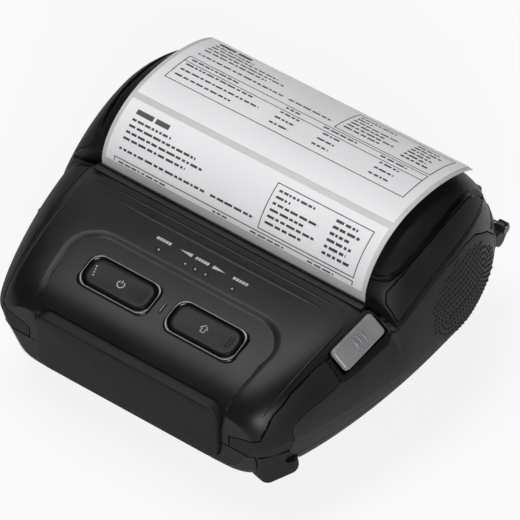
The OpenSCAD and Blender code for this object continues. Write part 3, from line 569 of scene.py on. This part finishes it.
# Keys and their frames lie on the slope of the deck. Rings are (inset, height)
keySet = {"x": 18.2, "y": -39.4, "tilt": 14, "sink": 0.8, "l": 26.9, "d": 11.1, "r": 4.3, "dish": 0.1,
          "rings": [(0, -2.2), (0, 0.25), (0.06, 0.45), (0.2, 0.62), (0.42, 0.76), (0.75, 0.87),
                    (1.15, 0.93), (1.7, 0.94), (2.4, 0.9)],
          "stem": 4, "stemR": 1.99, "stemRings": [(0, -4.2), (0, -2.1)], "smooth": 30}
keyFrame = {"l": 30, "d": 14.2, "r": 3.9, "smooth": 50,
            "rings": [(0, -3), (0, 0.3), (0.1, 0.52), (0.3, 0.68), (0.58, 0.72), (0.88, 0.62), (1.08, 0.4),
                      (1.16, 0.1), (1.16, -3)]}
keyZ = float(topAt(np.array(float(keySet["y"])))) - keySet["sink"]


def atKey(x):
    return Matrix.Translation((x, keySet["y"], keyZ)) @ Matrix.Rotation(math.radians(keySet["tilt"]), 4, "X")


for side, name in ((-1, "power_key"), (1, "feed_key")):
    verts, faces = joined([
        plate(keySet["l"], keySet["d"], keySet["r"], keySet["rings"], keySet["dish"]),
        plate(keySet["stem"], keySet["stem"], keySet["stemR"], keySet["stemRings"])])
    verts = placed(verts, atKey(side * keySet["x"]))
    title = name.replace("_key", "Key")
    addPiece(title, verts, faces, finishes["key"], name, keySet["smooth"], [name])
v, f = ring(keyFrame["l"], keyFrame["d"], keyFrame["r"], keyFrame["rings"])
verts, faces = joined([(placed(v, atKey(side * keySet["x"])), f) for side in (-1, 1)])
addPiece("keyFrames", verts, faces, finishes["gloss_black"], "chassis", keyFrame["smooth"],
         ["key_trim"])


# A slim raised bar stands between the keys
keyBar = {"l": 0.9, "d": 4.6, "r": 0.42, "rings": [(0, -0.5), (0, 0.3), (0.08, 0.42), (0.2, 0.48)]}
v, f = plate(keyBar["l"], keyBar["d"], keyBar["r"], keyBar["rings"])
addPiece("keyBar", placed(v, atKey(0)), f, finishes["gloss_black"], "chassis")


# Flat strokes of one width along paths, each path open or closed
def strokes(paths, width, height, matrix):
    verts, faces = [], []
    for path, closed in paths:
        n = len(path)
        start = len(verts)
        for i, p in enumerate(path):
            a = path[(i - 1) % n if closed else max(i - 1, 0)]
            b = path[(i + 1) % n if closed else min(i + 1, n - 1)]
            d = Vector((b[0] - a[0], b[1] - a[1])).normalized()
            for s in (-width / 2, width / 2):
                verts.append(row(matrix @ Vector((p[0] - d.y * s, p[1] + d.x * s, height))))
        for i in range(n if closed else n - 1):
            a, b = start + 2 * i, start + 2 * ((i + 1) % n)
            faces.append((a, b, b + 1, a + 1))
    return verts, faces


# Generic icons: a broken ring with a bar on one key, a plain upward arrow on the other
icons = {"x": 17.6, "lift": 0.9, "radius": 1.35, "turn": range(38, 325, 13), "bar": [(0, 0.3), (0, 1.7)],
         "arrow": [(-1.5, 0.1), (0, 1.6), (1.5, 0.1), (0.75, 0.1), (0.75, -1.3), (-0.75, -1.3), (-0.75, 0.1)],
         "ringStroke": 0.34, "arrowStroke": 0.306}
turn = [math.radians(a) for a in icons["turn"]]
arc = [(icons["radius"] * math.sin(a), icons["radius"] * math.cos(a)) for a in turn]
power = [(arc, False), (icons["bar"], False)]
v, f = strokes(power, icons["ringStroke"], icons["lift"], atKey(-icons["x"]))
addPiece("powerIcon", v, f, iconPaint, "power_key")
v, f = strokes([(icons["arrow"], True)], icons["arrowStroke"], icons["lift"], atKey(icons["x"]))
addPiece("feedIcon", v, f, iconPaint, "feed_key")


# Plain printed marks behind the indicator lights: short bars and two wedges, no lettering
lightMarks = {"bars": [(-19.4, -13.2), (13.0, 19.4), (-2.9, 2.9)], "barY": (-16.9, -15.7), "parts": 5,
              "share": 0.16, "wedges": [(-9.8, -4.4), (9.8, 4.4)], "y": -16.3, "wedge": 0.75, "lift": 0.025}


def deckPoint(x, y):
    z = heightOver(x, y, body["deck"] + 1.0)
    return row((x, y, z + float(deckShape(np.array([[x, y, z]], float))[0]) + lightMarks["lift"]))


verts, faces = [], []
y0, y1 = lightMarks["barY"]
for x0, x1 in lightMarks["bars"]:
    for k in range(lightMarks["parts"]):
        a = x0 + (x1 - x0) * k / lightMarks["parts"]
        b = a + (x1 - x0) * lightMarks["share"]
        faces.append(tuple(range(len(verts), len(verts) + 4)))
        verts += [deckPoint(a, y0), deckPoint(b, y0), deckPoint(b, y1), deckPoint(a, y1)]
for x0, x1 in lightMarks["wedges"]:
    faces.append(tuple(range(len(verts), len(verts) + 3)))
    verts += [deckPoint(x0, lightMarks["y"]), deckPoint(x1, lightMarks["y"] - lightMarks["wedge"]),
              deckPoint(x1, lightMarks["y"] + lightMarks["wedge"])]
addPiece("lightMarks", verts, faces, iconPaint, "chassis")

# The light windows: a dark disc each, on which a small pale dome stands. The dome's pale colour is a painted
# highlight, standing in for the small bright glint inside each window
lightWindows = {"x": (-15.6, -4.3, 0, 4.3, 15.6), "y": -20.6, "radius": 0.95, "parts": 20, "lift": 0.05,
                "dome": 0.42, "domeRise": 0.5}
verts, faces = [], []
glintDomes = []
n = lightWindows["parts"]
for x in lightWindows["x"]:
    centre = deckPoint(x, lightWindows["y"])
    start = len(verts)
    verts.append(centre + Vector((0, 0, lightWindows["lift"] / 1000)))
    for k in range(n):
        a = 2 * math.pi * k / n
        verts.append(deckPoint(x + lightWindows["radius"] * math.cos(a),
                               lightWindows["y"] + lightWindows["radius"] * math.sin(a)))
        faces.append((start, start + 1 + k, start + 1 + (k + 1) % n))
    glintDomes.append(centre)
addPiece("lightWindows", verts, faces, finishes["gripDot"], "chassis")


# Moulded beads that stand on the deck: one along each side, two across it before the tear edge. Those across
# are (first x, y, last x, width, height)
beads = {"side": [(52.9, -54), (53.4, -51), (54.3, -45), (55.0, -35), (55.6, -25), (56.0, -15), (56.2, -9)],
         "across": [(-53, -6.6, 53, 0.8, 0.3), (-47, -10.3, 47, 1.1, 0.22)], "width": 0.55, "height": 0.3,
         "step": 1.2, "ring": 9, "taper": 5, "sink": 0.02, "smooth": 60}


def beadMesh(points, width, height):
    verts, faces = [], []
    centres = np.array([(x, y, heightOver(x, y, body["crown"])) for x, y in points])
    normals = surfaceNormal(centres, 0)
    n, m = len(points), beads["ring"]
    for i in range(n):
        along = centres[min(i + 1, n - 1)] - centres[max(i - 1, 0)]
        across = np.cross(along / np.linalg.norm(along), normals[i])
        end = min(1, beads["taper"] * i / n, beads["taper"] * (n - 1 - i) / n) ** 0.5
        w, h = width * (0.15 + 0.85 * end), height * (0.02 + 0.98 * end)
        for k in range(m):
            a = 2 * math.pi * k / m
            rise = normals[i] * (h * math.sin(a) - beads["sink"])
            verts.append(row(centres[i] + across * w * math.cos(a) + rise))
    for i in range(n - 1):
        for k in range(m):
            faces.append((i * m + k, i * m + (k + 1) % m, (i + 1) * m + (k + 1) % m, (i + 1) * m + k))
    return verts, faces + [tuple(range(m)), tuple(range((n - 1) * m, n * m))]


ways = []
ys = np.arange(beads["side"][0][1], beads["side"][-1][1], beads["step"])
xs = np.interp(ys, [q[1] for q in beads["side"]], [q[0] for q in beads["side"]])
for side in (-1, 1):
    ways.append(([(side * x, y) for x, y in zip(xs, ys)], beads["width"], beads["height"]))
for x0, y, x1, width, height in beads["across"]:
    ways.append(([(x, y) for x in np.arange(x0, x1 + 0.1, beads["step"])], width, height))
verts, faces = joined([beadMesh(*way) for way in ways])
addPiece("deckBeads", verts, faces, finishes["shell"], "chassis", beads["smooth"])


# The front rubber pad is a pillow with rounded edges
frontPad = {"l": 77.6, "d": 24.8, "r": 5, "z": 29.8, "y": -61.5, "smooth": 30,
            "rings": [(0, -4.6), (0, -1.1), (0.08, -0.7), (0.3, -0.32), (0.65, -0.1), (1.1, 0)]}
v, f = plate(frontPad["l"], frontPad["d"], frontPad["r"], frontPad["rings"])
upright = Matrix.Translation((0, frontPad["y"], frontPad["z"])) @ Matrix.Rotation(math.pi / 2, 4, "X")
addPiece("frontPad", placed(v, upright), f, finishes["pad"], "chassis", frontPad["smooth"],
         ["front_pad"])

# Lid release: a tilted plate with a square stem; its three ribs come later as raised marks
release = {"x": 62.7, "y": -12.5, "tilt": 38, "w": 8.8, "l": 22.6, "r": 1.5, "dish": 0.05, "smooth": 35,
           "rings": [(0, -1), (0, 0.2), (0.08, 0.42), (0.28, 0.62), (0.6, 0.74), (1.1, 0.8), (2.2, 0.78)],
           "stem": ((59.2, -6.2), (60.7, -6.2), (60.7, -4.2), (59.2, -4.2)), "stemLow": 41.6, "stemTop": 1.2,
           "ribs": 3, "pitch": 2.3, "ribRadius": 0.001, "rib": (2.7, 0.6, 1.2), "ribLift": 0.82,
           "ribRings": 10}
releaseTop = float(topAt(np.array(float(release["y"]))))
releaseZ = heightOver(release["x"], release["y"], releaseTop, 30)
atRelease = Matrix.Translation((release["x"], release["y"], releaseZ))
atRelease = atRelease @ Matrix.Rotation(math.radians(release["tilt"]), 4, "Y")
v, f = plate(release["w"], release["l"], release["r"], release["rings"], release["dish"])
stemEnds = (release["stemLow"], releaseZ + release["stemTop"])
stem = [row((x, y, z)) for z in stemEnds for x, y in release["stem"]]
stemFaces = [(0, 3, 2, 1), (4, 5, 6, 7)] + [(i, (i + 1) % 4, 4 + (i + 1) % 4, 4 + i) for i in range(4)]
verts, faces = joined([(placed(v, atRelease), f), (stem, stemFaces)])
addPiece("releaseButton", verts, faces, finishes["grey_key"], "release", release["smooth"],
         ["release_button"])
print("keys, frames and buttons built")


# Geometry Nodes: raised marks stood on points and turned to the surface they lie on
def raisedMarksTree():
    tree = bpy.data.node_groups.new("raisedMarks", "GeometryNodeTree")
    face = tree.interface
    face.new_socket("Geometry", in_out="INPUT", socket_type="NodeSocketGeometry")
    for name, kind in (("Radius", "NodeSocketFloat"), ("Proportions", "NodeSocketVector"),
                       ("Rings", "NodeSocketInt"), ("Finish", "NodeSocketMaterial")):
        face.new_socket(name, in_out="INPUT", socket_type=kind)
    face.new_socket("Geometry", in_out="OUTPUT", socket_type="NodeSocketGeometry")
    start, end = node(tree, "NodeGroupInput"), node(tree, "NodeGroupOutput")
    ball = node(tree, "GeometryNodeMeshUVSphere")
    ball.inputs["Segments"].default_value = 8
    link(tree, start.outputs["Rings"], ball.inputs["Rings"])
    link(tree, start.outputs["Radius"], ball.inputs["Radius"])
    facing = node(tree, "GeometryNodeInputNamedAttribute", data_type="FLOAT_VECTOR")
    facing.inputs["Name"].default_value = "facing"
    turned = node(tree, "FunctionNodeAlignRotationToVector", axis="Z")
    link(tree, facing.outputs["Attribute"], turned.inputs["Vector"])
    stand = node(tree, "GeometryNodeInstanceOnPoints")
    link(tree, start.outputs["Geometry"], stand.inputs["Points"])
    link(tree, ball.outputs["Mesh"], stand.inputs["Instance"])
    link(tree, turned.outputs["Rotation"], stand.inputs["Rotation"])
    link(tree, start.outputs["Proportions"], stand.inputs["Scale"])
    real = node(tree, "GeometryNodeRealizeInstances")
    link(tree, stand.outputs["Instances"], real.inputs["Geometry"])
    paint = node(tree, "GeometryNodeSetMaterial")
    link(tree, real.outputs["Geometry"], paint.inputs["Geometry"])
    link(tree, start.outputs["Finish"], paint.inputs["Material"])
    link(tree, paint.outputs["Geometry"], end.inputs["Geometry"])
    return tree


marksTree = raisedMarksTree()


# One piece of marks; the radius is in metres, the proportions stretch each mark
def raisedMarks(name, points, normals, radius, proportions, material, rides, rings=6):
    seed = bpy.data.meshes.new(name + "Points")
    seed.from_pydata([tuple(p) for p in points], [], [])
    attribute = seed.attributes.new("facing", "FLOAT_VECTOR", "POINT")
    attribute.data.foreach_set("vector", np.array(normals, np.float32).ravel())
    holder = bpy.data.objects.new(name + "Holder", seed)
    collection.objects.link(holder)
    mod = holder.modifiers.new("raisedMarks", "NODES")
    mod.node_group = marksTree
    sockets = {s.name: s.identifier for s in marksTree.interface.items_tree if s.in_out == "INPUT"}
    values = (("Radius", radius), ("Proportions", proportions), ("Rings", rings), ("Finish", material))
    for key, value in values:
        mod[sockets[key]] = value
    graph = bpy.context.evaluated_depsgraph_get()
    graph.update()
    mesh = bpy.data.meshes.new_from_object(holder.evaluated_get(graph), depsgraph=graph)
    mesh.name = name
    holder.modifiers.remove(mod)
    bpy.data.objects.remove(holder)
    for p in mesh.polygons:
        p.use_smooth = True
    o = bpy.data.objects.new(name, mesh)
    collection.objects.link(o)
    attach(o, rides)


# Raised dots on the grips: nested rows round a spine, kept inside a leaf-shaped outline of (y, z)
gripDots = {"outline": [(15, 38), (15.5, 45), (19, 49), (25, 53), (32.5, 55.4), (40, 54.5), (50, 50.2),
                        (58, 41.5), (61, 34), (58, 31), (51, 27), (41, 24.5), (31, 25), (21, 30)],
            "spine": ((24, 38.5), (47, 39.5)), "rows": 12, "first": 0.3, "pitch": 1.75, "rowPitch": 1.95,
            "radius": 0.00066, "rise": 0.7, "sink": 0.12, "outermost": 90}


def insideOutline(y, z, points):
    inside = False
    for i in range(len(points)):
        (y1, z1), (y2, z2) = points[i], points[i - 1]
        if (z1 > z) != (z2 > z) and y < (y2 - y1) * (z - z1) / (z2 - z1) + y1:
            inside = not inside
    return inside


# Place along and across the spine after a distance round it at one radius
def roundSpine(d, span, radius):
    half = math.pi * radius
    if d < span:
        return d, radius
    if d < span + half:
        a = (d - span) / radius
        return span + radius * math.sin(a), radius * math.cos(a)
    if d < 2 * span + half:
        return 2 * span + half - d, -radius
    a = (d - 2 * span - half) / radius
    return -radius * math.sin(a), -radius * math.cos(a)


def gripPoints(side):
    points = []
    (ya, za), (yb, zb) = gripDots["spine"]
    span = math.hypot(yb - ya, zb - za)
    ty, tz = (yb - ya) / span, (zb - za) / span
    for k in range(gripDots["rows"]):
        radius = (k + gripDots["first"]) * gripDots["rowPitch"]
        total = 2 * span + 2 * math.pi * radius
        count = max(2, round(total / gripDots["pitch"]))
        for i in range(count):
            u, w = roundSpine(total * (i + 0.5 * (k % 2)) / count, span, radius)
            y, z = ya + ty * u - tz * w, za + tz * u + ty * w
            if insideOutline(y, z, gripDots["outline"]):
                x = leaving(lambda across: (across, y, z), 0.0, gripDots["outermost"], 24)
                points.append((side * x, y, z))
    return np.array(points)


for side, word in ((-1, "Left"), (1, "Right")):
    points = gripPoints(side)
    normals = surfaceNormal(points, 0)
    raisedMarks("gripDots" + word, [row(p - n * gripDots["sink"]) for p, n in zip(points, normals)], normals,
                gripDots["radius"], (1, 1, gripDots["rise"]), finishes["gripDot"], "chassis")
    print("grip dots", word, len(points))


def upOf(matrix):
    return (matrix.to_3x3() @ Vector((0, 0, 1))).normalized()


n = release["ribs"]
ribPoints = [row(atRelease @ Vector((0, (i - 1) * release["pitch"], release["ribLift"]))) for i in range(n)]
raisedMarks("releaseRibs", ribPoints, [upOf(atRelease)] * n, release["ribRadius"], release["rib"],
            finishes["grey_key"], "release", release["ribRings"])
# The domes' pale paint is a painted highlight: a glint painted onto each light window, not lit
raisedMarks("lightDomes", glintDomes, [(0, 0, 1)] * len(glintDomes), lightWindows["dome"] / 1000,
            (1, 1, lightWindows["domeRise"]), iconPaint, "chassis")

# Small raised dots on the keys: a slanted row of four on one, two rows on the other
keyDots = {"radius": 0.00036, "rise": 0.6, "lift": 0.86,
           "power": [(-11.0, 1.7), (-10.7, 0.55), (-10.4, -0.6), (-10.1, -1.75)],
           "feed": [(9.6, 1.9), (9.6, 0.75), (9.6, -0.4), (9.6, -1.55),
                    (10.8, 1.9), (10.8, 0.75), (10.8, -0.4)]}
for side, word, paint in ((-1, "power", iconPaint), (1, "feed", finishes["key"])):
    m = atKey(side * keySet["x"])
    dots = [row(m @ Vector((x, y, keyDots["lift"]))) for x, y in keyDots[word]]
    raisedMarks(word + "KeyDots", dots, [upOf(m)] * len(dots), keyDots["radius"], (1, 1, keyDots["rise"]),
                paint, word + "_key")


# The printed strip: the same path as the CAD's, with finer steps. The path's parameter runs round the platen
# up to "leave", then to "over" above the lid and to "end" behind it
strip = {"half": 56, "liner": 0.3, "label": 0.2, "inset": 1.6, "platenY": 7, "platenZ": 46, "wrap": 6.23,
         "firstAngle": 250, "angleStep": 14, "leave": 5, "straight": 6, "over": 14, "end": 22, "span": 8,
         "arch": 22, "lean": 0.6, "firstLabel": (7, 12.3), "secondLabel": (12.75, 22), "columns": 24,
         "rows": 5, "nudge": 0.02, "smooth": 40}


def bezier(p, t):
    weights = ((1 - t) ** 3, 3 * t * (1 - t) ** 2, 3 * t * t * (1 - t), t ** 3)
    return sum(np.array(c) * w for c, w in zip(p, weights))


def wrapPoint(q):
    a = math.radians(strip["firstAngle"] - strip["angleStep"] * q)
    r = strip["wrap"]
    return np.array([strip["platenY"] + r * math.cos(a), strip["platenZ"] + r * math.sin(a)])


def pathPoint(side, q):
    top = body["deck"] + strip["arch"] + strip["lean"] * side
    rise = [(0.8, body["deck"] + 0.6), (0.1, body["deck"] + 10), (10, top - 0.3), (27, top)]
    fall = [(27, top), (40, top + 0.2), (55, top - 4), (65, top - 11.6)]
    if q <= strip["leave"]:
        return wrapPoint(q)
    if q <= strip["straight"]:
        return wrapPoint(strip["leave"]) * (strip["straight"] - q) + np.array(rise[0]) * (q - strip["leave"])
    if q <= strip["over"]:
        return bezier(rise, (q - strip["straight"]) / strip["span"])
    return bezier(fall, (q - strip["over"]) / strip["span"])


def sheetPoint(x, q, h):
    side = x / strip["half"]
    p = pathPoint(side, q)
    d = pathPoint(side, min(q + strip["nudge"], strip["end"])) - pathPoint(side, max(q - strip["nudge"], 0))
    d /= np.linalg.norm(d)
    return row((x, p[0] - d[1] * h, p[1] + d[0] * h))


def sheetPiece(name, half, low, high, ends, material, stands):
    q0, q1 = ends
    rows, cols = int((q1 - q0) * strip["rows"]) + 1, strip["columns"]
    verts, faces = [], []
    for h in (low, high):
        for i in range(rows + 1):
            for c in range(cols + 1):
                verts.append(sheetPoint(-half + 2 * half * c / cols, q0 + (q1 - q0) * i / rows, h))
    w = cols + 1
    k = (rows + 1) * w
    for i in range(rows):
        for c in range(cols):
            a = i * w + c
            faces += [(a, a + w, a + w + 1, a + 1), (k + a, k + a + 1, k + a + w + 1, k + a + w)]
    for c in range(cols):
        e = rows * w + c
        faces += [(c, c + 1, k + c + 1, k + c), (e, k + e, k + e + 1, e + 1)]
    for i in range(rows):
        a, b = i * w, i * w + cols
        faces += [(a, k + a, k + a + w, a + w), (b, b + w, k + b + w, k + b)]
    addPiece(name, verts, faces, material, "lid", strip["smooth"], stands)


face = strip["liner"] / 2
labelTop = face + strip["label"]
inner = strip["half"] - strip["inset"]
whole = (0, strip["end"])
sheetPiece("linerStrip", strip["half"], -face, face, whole, finishes["liner"], ["label_strip"])
sheetPiece("frontLabel", inner, face, labelTop, strip["firstLabel"], finishes["paper"], ["labels"])
sheetPiece("rearLabel", inner, face, labelTop, strip["secondLabel"], finishes["paper"], [])


# Plain greeked print: bars for words, thin ruled boxes, no lettering. Marks are (left, right, top, bottom)
# from the label's corner
greek = {"seed": 7, "lift": 0.03, "line": 2.35, "bar": 0.85, "tall": 1.0, "rule": 0.36, "word": (0.9, 3.6),
         "gap": (0.45, 0.75), "headings": [(4.5, 11.6, 3.0, 4.9), (12.6, 18.4, 3.0, 4.9)], "samples": 240,
         "endGap": 0.5, "least": 0.1, "cell": (8, 1.2)}


# Path parameters and the lengths of label before them
def lengthTable(q0, q1):
    qs = np.linspace(q1, q0, greek["samples"])
    ps = np.array([pathPoint(0, q) for q in qs])
    return qs, np.concatenate([[0], np.cumsum(np.linalg.norm(np.diff(ps, axis=0), axis=1))])


def printLayout():
    rng = random.Random(greek["seed"])
    marks = list(greek["headings"])

    def words(u, until, d, high=greek["bar"]):
        while u < until:
            w = rng.uniform(*greek["word"])
            marks.append((u, min(u + w, until), d, d + high))
            u += w + rng.uniform(*greek["gap"])
    for k, until in enumerate((21, 33, 37, 31)):
        words(4.5, until, 6.6 + k * greek["line"])
    words(4.5, 41, 17.6)
    words(43.5, 62, 17.6)
    for k, (left, right) in enumerate(((15, 9), (6, 11), (19, 8), (14, 10), (20, 9), (15, 12))):
        words(66.5, 66.5 + left, 5.2 + k * greek["line"])
        words(90.5, 90.5 + right, 5.2 + k * greek["line"], greek["tall"])
    for u0, u1, across, top, bottom in ((3.5, 104.64, (21.6, 25.0, 36.6), 21.6, 36.9),
                                        (64.5, 104.64, (3.2, 20.3), 3.2, 20.6)):
        marks.extend((u0, u1 + greek["rule"], d, d + greek["rule"]) for d in across)
        marks.extend((u, u + greek["rule"], top, bottom) for u in (u0, u1))
    for u, until in ((5.5, 26), (46, 52), (62, 76), (86, 97)):
        words(u, until, 22.8)
    for k, first in enumerate((34, 39, 30)):
        for u, until in ((5.5, first), (46, 54), (64, 71), (88, 96)):
            words(u, until, 26.2 + k * 3.4)
    return marks


def printMarks(name, ends):
    qs, lengths = lengthTable(*ends)
    height = labelTop + greek["lift"]
    verts, faces = [], []
    for u0, u1, d0, d1 in printLayout():
        d1 = min(d1, lengths[-1] - greek["endGap"])
        if d0 >= d1 - greek["least"]:
            continue
        nu, nd = max(1, int((u1 - u0) / greek["cell"][0])), max(1, int((d1 - d0) / greek["cell"][1]))
        base = len(verts)
        for i in range(nd + 1):
            q = float(np.interp(d0 + (d1 - d0) * i / nd, lengths, qs))
            for j in range(nu + 1):
                verts.append(sheetPoint(-inner + u0 + (u1 - u0) * j / nu, q, height))
        for i in range(nd):
            for j in range(nu):
                a = base + i * (nu + 1) + j
                faces.append((a, a + 1, a + nu + 2, a + nu + 1))
    addPiece(name, verts, faces, ink, "lid")


printMarks("frontPrint", strip["firstLabel"])
printMarks("rearPrint", strip["secondLabel"])
print("strip, labels and greeked print built")

# Floor, light and camera, in metres and degrees. To the camera the floor is mostly a glow, so that it stays
# pale away from the lights
studio = {"floor": 6.0, "floorColour": (0.86, 0.86, 0.86, 1), "floorRough": 0.8, "glow": 0.84, "world": 0.45,
          "azimuth": 36, "elevation": 47, "distance": 2.0, "lens": 402.5, "sensor": 36,
          "look": (0.0129, -0.0090, 0.0490)}
size = studio["floor"]
corners = [(-size, -size, 0), (size, -size, 0), (size, size, 0), (-size, size, 0)]
floorMesh = bpy.data.meshes.new("floor")
floorMesh.from_pydata(corners, [], [(0, 1, 2, 3)])
floor = bpy.data.objects.new("floor", floorMesh)
collection.objects.link(floor)
floorPaint = bpy.data.materials.new("paleFloor")
floorPaint.use_nodes = True
tree = floorPaint.node_tree
shader = tree.nodes["Principled BSDF"]
shader.inputs["Base Color"].default_value = studio["floorColour"]
shader.inputs["Roughness"].default_value = studio["floorRough"]
glow = node(tree, "ShaderNodeEmission")
glow.inputs["Strength"].default_value = 1.0
ray = node(tree, "ShaderNodeLightPath")
share = node(tree, "ShaderNodeMath", operation="MULTIPLY")
share.inputs[1].default_value = studio["glow"]
link(tree, ray.outputs["Is Camera Ray"], share.inputs[0])
mixed = node(tree, "ShaderNodeMixShader")
link(tree, share.outputs[0], mixed.inputs["Fac"])
link(tree, shader.outputs["BSDF"], mixed.inputs[1])
link(tree, glow.outputs["Emission"], mixed.inputs[2])
link(tree, mixed.outputs["Shader"], tree.nodes["Material Output"].inputs["Surface"])
floorMesh.materials.append(floorPaint)

# The camera, reflections and clear parts see the world in full, all other light takes a share of it
world = bpy.data.worlds.new("studio")
bpy.context.scene.world = world
world.use_nodes = True
tree = world.node_tree
background = tree.nodes["Background"]
ray = node(tree, "ShaderNodeLightPath")
seen = node(tree, "ShaderNodeMath", operation="MAXIMUM")
link(tree, ray.outputs["Is Camera Ray"], seen.inputs[0])
link(tree, ray.outputs["Is Transmission Ray"], seen.inputs[1])
shown = node(tree, "ShaderNodeMath", operation="MAXIMUM")
link(tree, seen.outputs[0], shown.inputs[0])
link(tree, ray.outputs["Is Glossy Ray"], shown.inputs[1])
strength = node(tree, "ShaderNodeMapRange")
strength.inputs["To Min"].default_value = studio["world"]
strength.inputs["To Max"].default_value = 1.0
link(tree, shown.outputs[0], strength.inputs["Value"])
link(tree, strength.outputs["Result"], background.inputs["Strength"])


# Lights: place, point they look at, width, depth and power
lights = {"keyLight": ((-0.35, 0.1, 1.3), (0, 0, 0.03), 1.0, 0.55, 11),
          "backLight": ((-0.9, 0.9, 0.7), (0, 0, 0.05), 0.9, 0.35, 2),
          "fillLight": ((0.9, -1.0, 0.75), (0, 0, 0.03), 0.8, 0.6, 14)}
for name, (place, look, width, depth, power) in lights.items():
    data = bpy.data.lights.new(name, "AREA")
    data.shape = "RECTANGLE"
    data.size, data.size_y, data.energy = width, depth, power
    o = bpy.data.objects.new(name, data)
    collection.objects.link(o)
    o.location = place
    o.rotation_euler = (Vector(look) - Vector(place)).to_track_quat("-Z", "Y").to_euler()

cameraData = bpy.data.cameras.new("camera")
cameraData.lens = studio["lens"]
cameraData.sensor_width = studio["sensor"]
camera = bpy.data.objects.new("camera", cameraData)
collection.objects.link(camera)
a, e = math.radians(studio["azimuth"]), math.radians(studio["elevation"])
back = Vector((math.sin(a) * math.cos(e), -math.cos(a) * math.cos(e), math.sin(e)))
camera.location = Vector(studio["look"]) + back * studio["distance"]
camera.rotation_mode = "QUATERNION"
camera.rotation_quaternion = (-back).to_track_quat("-Z", "Y")
bpy.context.scene.camera = camera
bpy.context.scene.view_settings.view_transform = "Standard"
print("floor, light and camera set")
